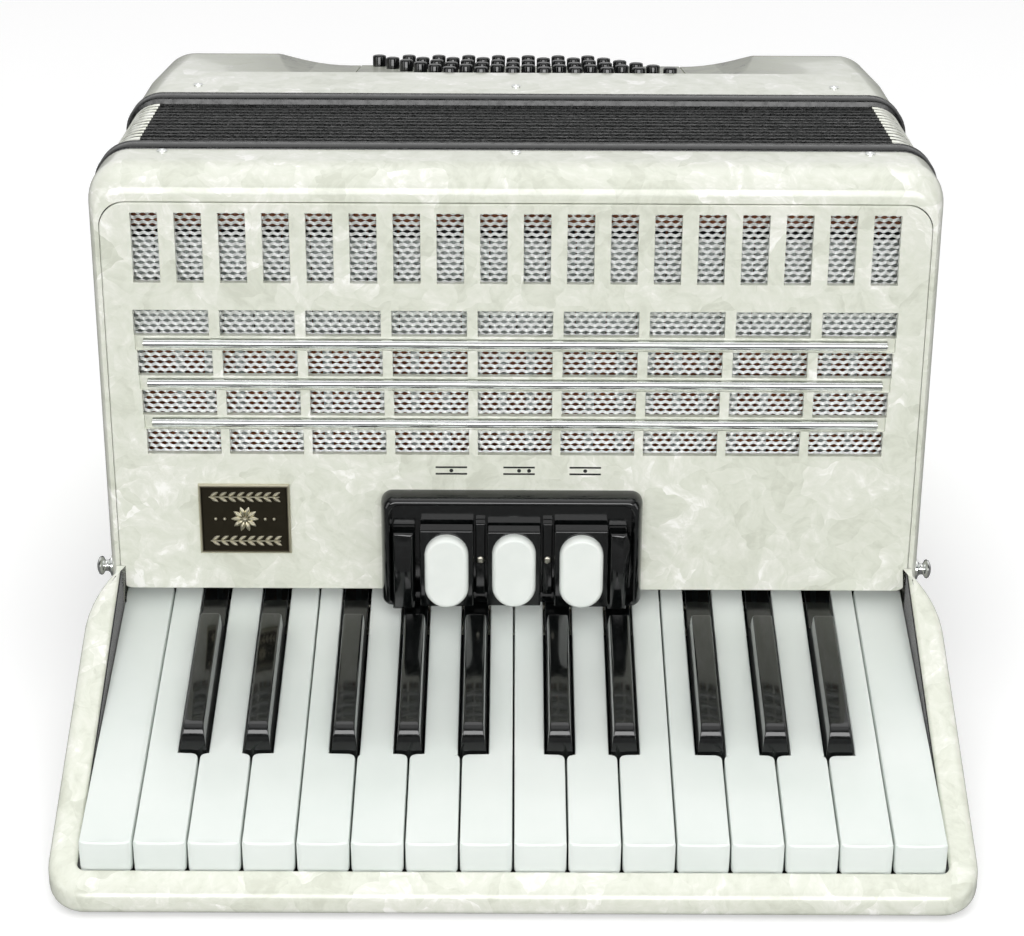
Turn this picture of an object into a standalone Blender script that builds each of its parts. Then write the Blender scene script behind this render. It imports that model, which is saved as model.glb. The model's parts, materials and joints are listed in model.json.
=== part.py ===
"""Piano accordion: 26 treble keys, 3 register switches, 48 bass buttons, folded bellows.

Lengths are in metres. Everything is drawn in the instrument's own frame: +X towards the high
notes, +Y from the keyboard to the bass end, +Z from the player's side to the front. One empty
then lays the instrument down on its back, on the keyboard base's edge and two rubber feet.
"""
import math

import bmesh
import bpy
from mathutils import Vector

# ---- driving dimensions -------------------------------------------------------------------
GAP = 0.0003                    # space left between pieces that touch

BODY_WIDTH = 0.315              # casings across X
BODY_DEPTH = 0.190              # casings from back to front plane
CORNER_RADIUS = 0.014           # casing corners at the front, seen along Y
BACK_RADIUS = 0.010             # and at the back
WALL = 0.004                    # casing wall
TREBLE_CASING_DEPTH = 0.0281
TREBLE_FRONT_ROUND = 0.013      # rounding from the grille panel up to the front plane
BASS_CASING_DEPTH = 0.117
BASS_END_ROUND = 0.026
BASS_SIDE_ROUND = 0.014
BASS_FRONT_FALL = 0.004         # fall of the front from the scoop to the end rounding

FRAME_DEPTH = 0.0096            # bellows frame along Y
FRAME_PROUD = 0.0009            # bellows frame outside the casing
FRAME_RING = 0.012
BELLOWS_LENGTH = 0.068
BELLOWS_INSET = 0.0015
BELLOWS_RING = 0.014

PANEL_WIDTH = 0.305
PANEL_LOW = 0.0222
PANEL_THICKNESS = 0.003
PANEL_CORNER = 0.010
TOP_SLOTS = 18
TOP_SLOT_WIDTH = 0.010
TOP_SLOT_PITCH = 0.016
TOP_SLOT_HEIGHT = 0.0267
TOP_SLOT_EDGE = 0.0037          # from the panel's top edge to the first slots
LOW_SLOTS = 9
LOW_SLOT_WIDTH = 0.028
LOW_SLOT_PITCH = 0.032
LOW_SLOT_HEIGHT = 0.010
LOW_SLOT_EDGE = 0.041
LOW_ROW_PITCH = 0.0158
LOW_ROWS = 4
ROW_NARROWING = 0.00022         # each low row is pitched this much closer than the one above
MESH_THICKNESS = 0.0006
BAR_LENGTH = 0.2785
BAR_SHORTENING = 0.0018         # each bar against the one above
BAR_RADIUS = 0.0021

KEY_PITCH = 0.019
WHITE_KEYS = 16
KEY_GAP = 0.0007
KEY_LENGTH = 0.1199             # tip in front of the grille panel
KEY_THICKNESS = 0.010
KEY_PLANE = 0.0164              # height of the key tops at the grille panel
KEY_SLOPE = 0.2962              # fall of the key tops towards the tips
KEY_TRAVEL = 1.9                # degrees
BLACK_WIDTH = 0.0094
BLACK_TIP = 0.0771
BLACK_STEP = 0.0150             # where the raised cap ends, in front of the panel
BLACK_HEIGHT = 0.009
BLACK_CLEARANCE = 0.0009        # beside a black key
NOTCH_CLEARANCE = 0.0014        # in front of it, where a pressed white key swings back
NECK_WIDTH = 0.0092
NECK_HEIGHT = 0.0012
ARM_WIDTH = 0.004
ARM_TOP = 0.150
ARM_FRONT = 0.0116              # the arm stands behind the panel, from here to the axle's middle
ARM_THICKNESS = 0.003
AXLE_RADIUS = 0.0015
AXLE_Y = 0.014

BASE_HALF_WIDTH = 0.163
BASE_FRONT = 0.1315             # outer edge in front of the panel
BASE_DEPTH = 0.042              # depth of the outer bottom edge behind the back plane
BASE_CORNER = 0.014
BASE_RIM_HEIGHT = 0.032
BASE_RIM_SLOPE = 0.4901
BASE_RIM = 0.009
BASE_FLOOR = 0.0032

HOUSING_LEFT = -0.051
HOUSING_WIDTH = 0.100
HOUSING_TOP = 0.0643
HOUSING_BOTTOM = 0.0185
HOUSING_PROUD = 0.008
SWITCHES = 3
SWITCH_PITCH = 0.0258
SWITCH_MIDDLE = -0.0001
SWITCH_WIDTH = 0.0168
SWITCH_HEIGHT = 0.0295
SWITCH_Z = 0.0346
SWITCH_PIVOT_Z = 0.0435
BADGE_WIDTH = 0.035
BADGE_HEIGHT = 0.0287
BADGE_X = -0.1034
BADGE_Z = 0.0521

SCOOP_START = 0.040             # into the bass casing
SCOOP_STEP = 0.003
SCOOP_ANGLE = math.radians(8.0)
SCOOP_FLAT = 0.075
SCOOP_END_RADIUS = 0.080
BUTTON_RADIUS = 0.003
BUTTON_HEIGHT = 0.005
BUTTON_ROWS = 6
BUTTONS_IN_ROW = 8
BUTTON_PITCH = 0.01345
ROW_PITCH = 0.0125
ROW_SHIFT = -0.00666
FIRST_BUTTON = -0.0284
FIRST_ROW = 0.0065              # along the scoop's floor
BUTTON_CLEARANCE = 0.0005         # between a button and its hole
PLATE_THICKNESS = 0.002
PLATE_MARGIN = 0.0055
CARRIER_DROP = 0.005            # from the scoop's floor to the carrier's top

FOOT_RADIUS = 0.007
FOOT_HEIGHT = 0.008
FOOT_X = 0.125
FOOT_INSET = 0.029              # from the bass end
STRAP_WIDTH = 0.055
STRAP_HALF_LENGTH = 0.125
STRAP_THICKNESS = 0.003
STRAP_RISE = 0.026
STRAP_Z = 0.090
WHEEL_RADIUS = 0.011
WHEEL_WIDTH = 0.006
STUD_RADIUS = 0.0042
STUD_LENGTH = 0.007
STUD_Z = 0.0245

# ---- places worked out from them ----------------------------------------------------------
HALF = BODY_WIDTH / 2
PANEL_TOP = BODY_DEPTH - TREBLE_FRONT_ROUND
TREBLE_FRAME_Y = TREBLE_CASING_DEPTH + GAP
BELLOWS_Y = TREBLE_FRAME_Y + FRAME_DEPTH + GAP
BASS_FRAME_Y = BELLOWS_Y + BELLOWS_LENGTH + GAP
BASS_Y = BASS_FRAME_Y + FRAME_DEPTH + GAP
BASS_END = BASS_Y + BASS_CASING_DEPTH
AXLE_Z = KEY_PLANE + KEY_SLOPE * ARM_FRONT - KEY_THICKNESS - AXLE_RADIUS - GAP
# the white keys that a black key follows, and how far it sits off the joint after them
BLACK_AFTER = {2: -0.0022, 3: 0.0022, 5: -0.0044, 6: 0.0, 7: 0.0044, 9: -0.0022, 10: 0.0022,
               12: -0.0044, 13: 0.0, 14: 0.0044}


def clear_scene():
    for old in list(bpy.data.objects):
        bpy.data.objects.remove(old, do_unlink=True)


def material(name, colour, roughness, metallic=0.0):
    made = bpy.data.materials.new(name)
    made.use_nodes = True
    shader = made.node_tree.nodes["Principled BSDF"]
    shader.inputs["Base Color"].default_value = (*colour, 1.0)
    shader.inputs["Roughness"].default_value = roughness
    shader.inputs["Metallic"].default_value = metallic
    return made


def empty(name, place=(0, 0, 0), parent=None, tilt=0.0):
    made = bpy.data.objects.new(name, None)
    made.location = place
    made.rotation_euler = (tilt, 0, 0)
    made.parent = parent
    bpy.context.collection.objects.link(made)
    return made


def add(name, bm, finish, parent, pivot=(0, 0, 0), smooth=35):
    """Turn a bmesh drawn in the parent's frame into an object whose origin is its pivot."""
    bmesh.ops.recalc_face_normals(bm, faces=bm.faces)
    bmesh.ops.translate(bm, vec=-Vector(pivot), verts=bm.verts)
    mesh = bpy.data.meshes.new(name)
    bm.to_mesh(mesh)
    bm.free()
    mesh.shade_smooth()
    mesh.set_sharp_from_angle(angle=math.radians(smooth))
    made = bpy.data.objects.new(name, mesh)
    made.location = pivot
    made.parent = parent
    if finish:
        mesh.materials.append(finish)
    bpy.context.collection.objects.link(made)
    return made


def combine(target, tool, operation):
    """Cut a tool out of the target, or join it on, and drop the tool."""
    step = target.modifiers.new(operation, "BOOLEAN")
    step.operation = operation
    step.solver = "EXACT"
    step.object = tool
    bpy.context.view_layer.update()
    done = target.evaluated_get(bpy.context.evaluated_depsgraph_get())
    mesh = bpy.data.meshes.new_from_object(done)
    target.modifiers.clear()
    target.data = mesh
    bpy.data.objects.remove(tool, do_unlink=True)


def box(bm, low, high):
    size = Vector(high) - Vector(low)
    made = bmesh.ops.create_cube(bm, size=1.0)["verts"]
    bmesh.ops.scale(bm, vec=size, verts=made)
    bmesh.ops.translate(bm, vec=(Vector(low) + Vector(high)) / 2, verts=made)


def loft(rings, closed=False):
    """Skin a list of rings with equal numbers of points; ends are capped unless it closes."""
    bm = bmesh.new()
    rows = [[bm.verts.new(point) for point in ring] for ring in rings]
    count = len(rows[0])
    pairs = list(zip(rows, rows[1:]))
    if closed:
        pairs.append((rows[-1], rows[0]))
    for one, two in pairs:
        for k in range(count):
            after = (k + 1) % count
            bm.faces.new((one[k], one[after], two[after], two[k]))
    if not closed:
        bm.faces.new(rows[0])
        bm.faces.new(rows[-1])
    return bm


def rounded(half_x, low, high, radius, y, steps=5, middle=0.0, back=None):
    """Rounded rectangle in the X-Z plane; its back corners may have their own radius."""
    points = []
    back = radius if back is None else back
    corners = ((1, high - radius, radius, 0), (-1, high - radius, radius, 90),
               (-1, low + back, back, 180), (1, low + back, back, 270))
    for side, centre_z, size, start in corners:
        centre_x = middle + side * (half_x - size)
        for k in range(steps + 1):
            angle = math.radians(start + 90 * k / steps)
            points.append((centre_x + size * math.cos(angle), y, centre_z + size * math.sin(angle)))
    return points


def circle(radius, centre, axis, sides=16):
    """Points of a circle across the axis X, Y or Z."""
    points = []
    for k in range(sides):
        angle = 2 * math.pi * (k + 0.5) / sides
        a, b = radius * math.cos(angle), radius * math.sin(angle)
        offset = {"X": (0, a, b), "Y": (a, 0, b), "Z": (a, b, 0)}[axis]
        points.append(tuple(Vector(centre) + Vector(offset)))
    return points


def rod(radius, start, end, axis, sides=16):
    return loft([circle(radius, start, axis, sides), circle(radius, end, axis, sides)])


# ---- treble side --------------------------------------------------------------------------
def treble_casing(finish, parent):
    start = PANEL_THICKNESS / 3
    side = HALF - PANEL_WIDTH / 2
    rings = []
    first = math.acos(1 - start / TREBLE_FRONT_ROUND)
    for k in range(5):
        angle = first + (math.pi / 2 - first) * k / 4
        rise = math.sin(angle)
        rings.append(rounded(PANEL_WIDTH / 2 + side * rise, 0.0,
                             PANEL_TOP + TREBLE_FRONT_ROUND * rise,
                             PANEL_CORNER + (CORNER_RADIUS - PANEL_CORNER) * rise,
                             TREBLE_FRONT_ROUND * (1 - math.cos(angle)), back=BACK_RADIUS))
    depth = TREBLE_CASING_DEPTH
    rings.append(rounded(HALF, 0.0, BODY_DEPTH, CORNER_RADIUS, depth, back=BACK_RADIUS))
    inner_back = BACK_RADIUS - WALL
    for y in (depth, TREBLE_FRONT_ROUND):
        rings.append(rounded(HALF - WALL, WALL, BODY_DEPTH - WALL, CORNER_RADIUS - WALL, y,
                             back=inner_back))
    for y in (PANEL_THICKNESS + GAP, start):
        rings.append(rounded(PANEL_WIDTH / 2 + GAP, WALL, PANEL_TOP + GAP, PANEL_CORNER, y,
                             back=inner_back))
    return add("treble_casing", loft(rings, closed=True), finish, parent)


def grille_panel(finish, parent):
    rings = [rounded(PANEL_WIDTH / 2, PANEL_LOW, PANEL_TOP, PANEL_CORNER, y)
             for y in (0.0, PANEL_THICKNESS)]
    made = add("grille_panel", loft(rings), finish, parent)
    cutter = bmesh.new()
    for low_x, high_x, low_z, high_z in slot_boxes():
        box(cutter, (low_x, -0.01, low_z), (high_x, 0.02, high_z))
    combine(made, add("slots", cutter, None, parent), "DIFFERENCE")
    return made


def slot_boxes():
    rows = [(TOP_SLOTS, TOP_SLOT_WIDTH, TOP_SLOT_PITCH, TOP_SLOT_EDGE, TOP_SLOT_HEIGHT)]
    for row in range(LOW_ROWS):
        rows.append((LOW_SLOTS, LOW_SLOT_WIDTH, LOW_SLOT_PITCH - row * ROW_NARROWING,
                     LOW_SLOT_EDGE + row * LOW_ROW_PITCH, LOW_SLOT_HEIGHT))
    boxes = []
    for count, width, pitch, edge, height in rows:
        for k in range(count):
            middle = (k - (count - 1) / 2) * pitch
            top = PANEL_TOP - edge
            boxes.append((middle - width / 2, middle + width / 2, top - height, top))
    return boxes


def grille_mesh(finish, parent):
    low = PANEL_TOP - LOW_SLOT_EDGE - LOW_ROWS * LOW_ROW_PITCH
    front = PANEL_THICKNESS + GAP
    half = PANEL_WIDTH / 2 - PANEL_CORNER * 0.6
    rings = [rounded(half, low, PANEL_TOP - TOP_SLOT_EDGE / 2, 0.001, y, steps=1)
             for y in (front, front + MESH_THICKNESS)]
    return add("grille_mesh", loft(rings), finish, parent)


def trim_bars(finish, parent):
    for row in range(1, LOW_ROWS):
        between = (LOW_ROW_PITCH - LOW_SLOT_HEIGHT) / 2
        z = PANEL_TOP - LOW_SLOT_EDGE - row * LOW_ROW_PITCH + between
        ends = []
        half = (BAR_LENGTH - (row - 1) * BAR_SHORTENING) / 2
        for x in (-half, half):
            arc = [math.pi * k / 6 for k in range(7)]
            ends.append([(x, -GAP - BAR_RADIUS * math.sin(a), z + BAR_RADIUS * math.cos(a))
                         for a in arc])
        add(f"trim_bar_{row}", loft(ends), finish, parent)


def key_plane(y):
    return KEY_PLANE + KEY_SLOPE * y


def key_sections(parts):
    """Rings of a bar along Y from (y, left, right, top, bottom)."""
    rings = []
    for y, left, right, top, bottom in parts:
        rings.append([(left, y, bottom), (right, y, bottom), (right, y, top), (left, y, top)])
    return rings


def tail(middle, left, right, top_offset=0.0):
    """The narrow end of a key and its arm, which stands up behind the grille."""
    step = 0.0002
    neck = AXLE_Y - ARM_FRONT / 2
    arm_left, arm_right = middle - ARM_WIDTH / 2, middle + ARM_WIDTH / 2
    bottom = AXLE_Z + AXLE_RADIUS + GAP
    parts = [(neck, left, right, key_plane(neck) + top_offset, key_plane(neck) - KEY_THICKNESS)]
    for y, top in ((neck + step, key_plane(neck)), (ARM_FRONT, key_plane(ARM_FRONT)),
                   (ARM_FRONT + step, ARM_TOP), (ARM_FRONT + ARM_THICKNESS, ARM_TOP)):
        low = max(key_plane(min(y, ARM_FRONT)) - KEY_THICKNESS, bottom if y >= ARM_FRONT else -1)
        parts.append((y, arm_left, arm_right, top, low))
    return parts


def black_centres():
    left_edge = -WHITE_KEYS * KEY_PITCH / 2
    return {after: left_edge + after * KEY_PITCH + shift for after, shift in BLACK_AFTER.items()}


def white_keys(finish, parent):
    blacks = black_centres()
    left_edge = -WHITE_KEYS * KEY_PITCH / 2
    room = BLACK_WIDTH / 2 + BLACK_CLEARANCE
    notch = -BLACK_TIP - NOTCH_CLEARANCE
    tip = -KEY_LENGTH
    for number in range(1, WHITE_KEYS + 1):
        left = left_edge + (number - 1) * KEY_PITCH + KEY_GAP / 2
        right = left + KEY_PITCH - KEY_GAP
        rear_left = blacks[number - 1] + room if number - 1 in blacks else left
        rear_right = blacks[number] - room if number in blacks else right
        parts = []
        for back, drop, pull in ((0.0, 0.0035, 0.0012), (0.0008, 0.0014, 0.0004), (0.003, 0.0, 0.0)):
            y = tip + back
            parts.append((y, left + pull, right - pull, key_plane(y) - drop,
                          key_plane(y) - KEY_THICKNESS))
        for y, one, two in ((notch, left, right), (notch + 0.0002, rear_left, rear_right)):
            parts.append((y, one, two, key_plane(y), key_plane(y) - KEY_THICKNESS))
        middle = (rear_left + rear_right) / 2
        parts += tail(middle, rear_left, rear_right)
        add(f"white_key_{number:02d}", loft(key_sections(parts)), finish, parent,
            pivot=(middle, AXLE_Y, AXLE_Z))


def black_keys(finish, parent):
    for number, centre in enumerate(black_centres().values(), 1):
        half = BLACK_WIDTH / 2
        neck = NECK_WIDTH / 2
        parts = []
        for y, width, rise in ((-BLACK_TIP, half, 0.001), (-BLACK_TIP + 0.0012, half, 0.006),
                               (-BLACK_TIP + 0.0035, half, BLACK_HEIGHT),
                               (-BLACK_STEP - 0.0018, half, BLACK_HEIGHT),
                               (-BLACK_STEP, half, NECK_HEIGHT + 0.001),
                               (-BLACK_STEP + 0.0002, neck, NECK_HEIGHT)):
            parts.append((y, centre - width, centre + width, key_plane(y) + rise,
                          key_plane(y) - KEY_THICKNESS))
        parts += tail(centre, centre - neck, centre + neck, NECK_HEIGHT / 2)
        add(f"black_key_{number:02d}", loft(key_sections(parts)), finish, parent,
            pivot=(centre, AXLE_Y, AXLE_Z))


def key_axle(finish, parent):
    half = WHITE_KEYS * KEY_PITCH / 2 - 0.001
    add("key_axle", rod(AXLE_RADIUS, (-half, AXLE_Y, AXLE_Z), (half, AXLE_Y, AXLE_Z), "X", 12),
        finish, parent)


def base_bottom(y):
    return BASE_DEPTH * y / BASE_FRONT


def base_rim(y):
    return BASE_RIM_HEIGHT + BASE_RIM_SLOPE * y


def keyboard_base(finish, parent):
    """Tray under the keys: a rim on three sides, open towards the treble casing."""
    waist = PANEL_WIDTH / 2 + 0.0012
    arm = ((waist, -GAP), (waist + 0.45 * (BASE_HALF_WIDTH - waist), -0.006),
           (waist + 0.8 * (BASE_HALF_WIDTH - waist), -0.014), (BASE_HALF_WIDTH, -0.026))
    corner = []
    for k in range(7):
        angle = math.radians(-90 * k / 6)
        corner.append((BASE_HALF_WIDTH - BASE_CORNER + BASE_CORNER * math.cos(angle),
                       -BASE_FRONT + BASE_CORNER + BASE_CORNER * math.sin(angle)))
    right = [*arm, *corner]
    outline = right + [(-x, y) for x, y in reversed(right)]
    bm = loft([[(x, y, base_bottom(y)) for x, y in outline], [(x, y, base_rim(y)) for x, y in outline]])
    made = add("keyboard_base", bm, finish, parent)
    round_over = made.modifiers.new("round_over", "BEVEL")
    round_over.width = 0.003
    round_over.segments = 2
    round_over.limit_method = "ANGLE"
    round_over.angle_limit = math.radians(60)
    half = WHITE_KEYS * KEY_PITCH / 2 + 0.0005
    front = -BASE_FRONT + BASE_RIM
    hollow = [(half, 0.02), (half, front + 0.003), (half - 0.003, front)]
    hollow += [(-x, y) for x, y in reversed(hollow)]
    cutter = loft([[(x, y, base_bottom(y) + BASE_FLOOR) for x, y in hollow],
                   [(x, y, base_rim(y) + 0.05) for x, y in hollow]])
    combine(made, add("hollow", cutter, None, parent), "DIFFERENCE")
    return made


def register_housing(finish, parent):
    right = HOUSING_LEFT + HOUSING_WIDTH
    made = bmesh.new()
    box(made, (HOUSING_LEFT, -HOUSING_PROUD, HOUSING_BOTTOM), (right, -GAP, HOUSING_TOP))
    made = add("register_housing", made, finish, parent)
    edge = made.modifiers.new("edge", "BEVEL")
    edge.width = 0.002
    edge.segments = 2
    room = SWITCH_PITCH * (SWITCHES - 1) / 2 + SWITCH_WIDTH / 2 + 0.003
    window = bmesh.new()
    box(window, (SWITCH_MIDDLE - room, -0.02, HOUSING_BOTTOM + 0.005),
        (SWITCH_MIDDLE + room, 0.01, HOUSING_TOP - 0.006))
    combine(made, add("window", window, None, parent), "DIFFERENCE")
    sill = bmesh.new()
    box(sill, (SWITCH_MIDDLE - room, -0.02, HOUSING_BOTTOM - 0.01),
        (SWITCH_MIDDLE + room, -HOUSING_PROUD * 0.6, HOUSING_BOTTOM + 0.006))
    combine(made, add("sill", sill, None, parent), "DIFFERENCE")


def pill(width, height, y, middle_x, middle_z, steps=6):
    """Ring of an upright oval with half-round ends."""
    radius = width / 2 - 0.0002
    return rounded(width / 2, middle_z - height / 2, middle_z + height / 2, radius, y, steps,
                   middle_x)


def register_switches(finish, parent):
    face = -HOUSING_PROUD - 0.005
    back = -HOUSING_PROUD - 0.0008
    for number in range(SWITCHES):
        x = SWITCH_MIDDLE + (number - (SWITCHES - 1) / 2) * SWITCH_PITCH
        stem_z = SWITCH_PIVOT_Z
        rings = [pill(SWITCH_WIDTH - 0.004, 0.012 + 0.0002, -0.0018, x, stem_z),
                 pill(SWITCH_WIDTH - 0.004, 0.012 + 0.0002, back, x, stem_z),
                 pill(SWITCH_WIDTH, SWITCH_HEIGHT, back - 0.0001, x, SWITCH_Z),
                 pill(SWITCH_WIDTH, SWITCH_HEIGHT, face + 0.001, x, SWITCH_Z),
                 pill(SWITCH_WIDTH - 0.002, SWITCH_HEIGHT - 0.002, face, x, SWITCH_Z)]
        add(f"register_switch_{number + 1}", loft(rings), finish, parent,
            pivot=(x, -HOUSING_PROUD / 2, SWITCH_PIVOT_Z))


def badge_plate(finish, parent):
    bm = bmesh.new()
    box(bm, (BADGE_X - BADGE_WIDTH / 2, -GAP - 0.001, BADGE_Z - BADGE_HEIGHT / 2),
        (BADGE_X + BADGE_WIDTH / 2, -GAP, BADGE_Z + BADGE_HEIGHT / 2))
    add("badge_plate", bm, finish, parent)


def treble_inside(wood, parent):
    """Pallet board behind the key arms, and the reed block on its back."""
    board_y = ARM_FRONT + ARM_THICKNESS + 0.0054
    board = [rounded(HALF - WALL - 0.002, 0.040, BODY_DEPTH - WALL - 0.002, CORNER_RADIUS - WALL, y)
             for y in (board_y, board_y + 0.005)]
    add("pallet_board", loft(board), wood, parent)
    block = [rounded(half, 0.100 - high / 2, 0.100 + high / 2, 0.002, y, steps=1)
             for y, half, high in ((board_y + 0.005 + GAP, 0.140, 0.070),
                                   (board_y + 0.060, 0.140, 0.040))]
    add("treble_reed_block", loft(block), wood, parent)


def ring_frame(name, finish, parent, y, depth, proud, width, waist=None):
    half, low, high = HALF + proud, -proud, BODY_DEPTH + proud
    radius = CORNER_RADIUS + proud
    inner = (half - width, low + width, high - width, max(radius - width, 0.002))
    rings = []
    for k, at in enumerate((y, y + depth / 2, y + depth)):
        swell = 0.0 if waist is None or k == 1 else waist
        rings.append(rounded(half - swell, low + swell, high - swell, radius - swell, at,
                             back=BACK_RADIUS + proud - swell))
    for at in (y + depth, y):
        rings.append(rounded(*inner, at))
    return add(name, loft(rings, closed=True), finish, parent)


def strap_studs(finish, parent):
    for name, side in (("left", -1), ("right", 1)):
        start, neck, end = HALF + GAP, HALF + STUD_LENGTH * 0.55, HALF + STUD_LENGTH
        rings = [circle(radius, (side * x, TREBLE_FRONT_ROUND + 0.003, STUD_Z), "X", 12)
                 for x, radius in ((start, STUD_RADIUS), (start + 0.001, STUD_RADIUS),
                                   (neck, STUD_RADIUS * 0.6), (neck + 0.001, STUD_RADIUS * 0.85),
                                   (end, STUD_RADIUS * 0.6))]
        add(f"strap_stud_{name}", loft(rings), finish, parent)


# ---- bass side ----------------------------------------------------------------------------
def scoop_height(y):
    return BODY_DEPTH - SCOOP_STEP - math.tan(SCOOP_ANGLE) * (y - BASS_Y - SCOOP_START)


def bass_casing(finish, parent, field):
    inner = CORNER_RADIUS - WALL
    rings = []
    room = WALL + 0.001
    for y, high in ((BASS_END - WALL, scoop_height(BASS_END) - room),
                    (BASS_Y + SCOOP_START, scoop_height(BASS_Y + SCOOP_START) - room),
                    (BASS_Y + SCOOP_START - room, BODY_DEPTH - WALL),
                    (BASS_Y, BODY_DEPTH - WALL)):
        pull = BASS_SIDE_ROUND if y == BASS_END - WALL else 0.0
        rings.append(rounded(HALF - WALL - pull, WALL + pull / 2, high, inner, y,
                             back=BACK_RADIUS - WALL))
    for y in (BASS_Y, BASS_Y + SCOOP_START):
        rings.append(rounded(HALF, 0.0, BODY_DEPTH, CORNER_RADIUS, y, back=BACK_RADIUS))
    for k in range(7):
        angle = math.radians(90 * k / 6)
        inset = 1 - math.cos(angle)
        high = BODY_DEPTH - BASS_FRONT_FALL - (BASS_END_ROUND - BASS_FRONT_FALL) * inset
        rings.append(rounded(HALF - BASS_SIDE_ROUND * inset, BASS_SIDE_ROUND / 2 * inset,
                             high, CORNER_RADIUS,
                             BASS_END - BASS_END_ROUND * (1 - math.sin(angle)), back=BACK_RADIUS))
    made = add("bass_casing", loft(rings), finish, parent)
    length = BASS_CASING_DEPTH
    section = []
    for k in range(9):
        across = SCOOP_END_RADIUS * math.sin(math.radians(55 * k / 8))
        up = SCOOP_END_RADIUS * (1 - math.cos(math.radians(55 * k / 8)))
        section.append((SCOOP_FLAT + across, up))
    section += [(-x, up) for x, up in reversed(section)]
    scoop = loft([[(x, 0.0, up) for x, up in section], [(x, length, up) for x, up in section]])
    combine(made, add("scoop", scoop, None, field), "DIFFERENCE")
    left, right, near, far = plate_edges()
    opening = bmesh.new()
    box(opening, (left - GAP, near - GAP, -0.03), (right + GAP, far + GAP, 0.01))
    combine(made, add("opening", opening, None, field), "DIFFERENCE")


def row_start(row):
    return FIRST_BUTTON + ROW_SHIFT * row


def plate_edges():
    left = row_start(BUTTON_ROWS - 1) - PLATE_MARGIN - BUTTON_RADIUS
    right = row_start(0) + BUTTON_PITCH * (BUTTONS_IN_ROW - 1) + PLATE_MARGIN + BUTTON_RADIUS
    near = FIRST_ROW - PLATE_MARGIN
    far = FIRST_ROW + ROW_PITCH * (BUTTON_ROWS - 1) + PLATE_MARGIN
    return left, right, near, far


def bass_button_plate(finish, field):
    left, right, near, far = plate_edges()
    bm = bmesh.new()
    box(bm, (left, near, -PLATE_THICKNESS), (right, far, 0.0))
    made = add("bass_button_plate", bm, finish, field)
    holes = bmesh.new()
    for row in range(BUTTON_ROWS):
        for k in range(BUTTONS_IN_ROW):
            add_stud(holes, BUTTON_RADIUS + BUTTON_CLEARANCE, row_start(row) + k * BUTTON_PITCH,
                     FIRST_ROW + row * ROW_PITCH, -0.01, 0.01)
    combine(made, add("holes", holes, None, field), "DIFFERENCE")


def add_stud(bm, radius, x, y, low, high, sides=8):
    rings = [[bm.verts.new(point) for point in circle(radius, (x, y, z), "Z", sides)]
             for z in (low, high)]
    for k in range(sides):
        after = (k + 1) % sides
        bm.faces.new((rings[0][k], rings[0][after], rings[1][after], rings[1][k]))
    bm.faces.new(rings[0])
    bm.faces.new(rings[1])


def bass_button_rows(finish, field):
    """Eight buttons on one carrier under the plate, six times over."""
    thickness = 0.002
    for row in range(BUTTON_ROWS):
        start, y = row_start(row), FIRST_ROW + row * ROW_PITCH
        end = start + BUTTON_PITCH * (BUTTONS_IN_ROW - 1)
        bar = bmesh.new()
        box(bar, (start - BUTTON_RADIUS, y - 0.0036, -CARRIER_DROP - thickness),
            (end + BUTTON_RADIUS, y + 0.0036, -CARRIER_DROP))
        made = add(f"bass_button_row_{row + 1}", bar, finish, field)
        studs = bmesh.new()
        for k in range(BUTTONS_IN_ROW):
            add_stud(studs, BUTTON_RADIUS, start + k * BUTTON_PITCH, y,
                     -CARRIER_DROP - thickness / 2, BUTTON_HEIGHT)
        combine(made, add("studs", studs, None, field), "UNION")


def bass_inside(wood, parent):
    block = [rounded(half, 0.090 - high / 2, 0.090 + high / 2, 0.002, y, steps=1)
             for y, half, high in ((BASS_FRAME_Y - 0.018, 0.125, 0.060),
                                   (BASS_Y + SCOOP_START / 2, 0.125, 0.090))]
    add("bass_reed_block", loft(block), wood, parent)


def bass_feet(finish, parent, tilt):
    """Rubber feet on the back; their soles are cut so that they stand level."""
    y = BASS_END - FOOT_INSET
    for name, side in (("left", -1), ("right", 1)):
        top = circle(FOOT_RADIUS, (side * FOOT_X, y, -GAP), "Z")
        far = y + FOOT_RADIUS
        sole = [(x, at, -FOOT_HEIGHT - math.tan(tilt) * (far - at)) for x, at, z in top]
        add(f"bass_foot_{name}", loft([sole, top]), finish, parent)


def rest_tilt():
    """Angle that brings the base's outer edge and the feet to one level."""
    reach = BASE_FRONT + BASS_END - FOOT_INSET + FOOT_RADIUS
    return math.atan2(BASE_DEPTH - FOOT_HEIGHT, reach)


def bass_strap(finish, parent):
    """Hand strap: an arch of leather over the bass end."""
    steps = 14
    rings = []
    low, high = STRAP_Z - STRAP_WIDTH / 2, STRAP_Z + STRAP_WIDTH / 2
    for k in range(steps + 1):
        along = -1 + 2 * k / steps
        x = STRAP_HALF_LENGTH * along
        rise = STRAP_RISE * (1 - along * along) ** 0.6
        y = BASS_END + GAP + rise
        rings.append([(x, y, low), (x, y + STRAP_THICKNESS, low),
                      (x, y + STRAP_THICKNESS, high), (x, y, high)])
    add("bass_strap", loft(rings), finish, parent)


def strap_wheel(finish, parent):
    start = HALF + GAP
    y, z = BASS_END - BASS_END_ROUND - WHEEL_RADIUS, STRAP_Z
    rings = [circle(radius, (x, y, z), "X", 20)
             for x, radius in ((start, WHEEL_RADIUS * 0.5), (start + 0.0008, WHEEL_RADIUS * 0.5),
                               (start + 0.001, WHEEL_RADIUS), (start + WHEEL_WIDTH, WHEEL_RADIUS),
                               (start + WHEEL_WIDTH + 0.0006, WHEEL_RADIUS * 0.9))]
    add("bass_strap_wheel", loft(rings), finish, parent, pivot=(start, y, z))


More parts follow.
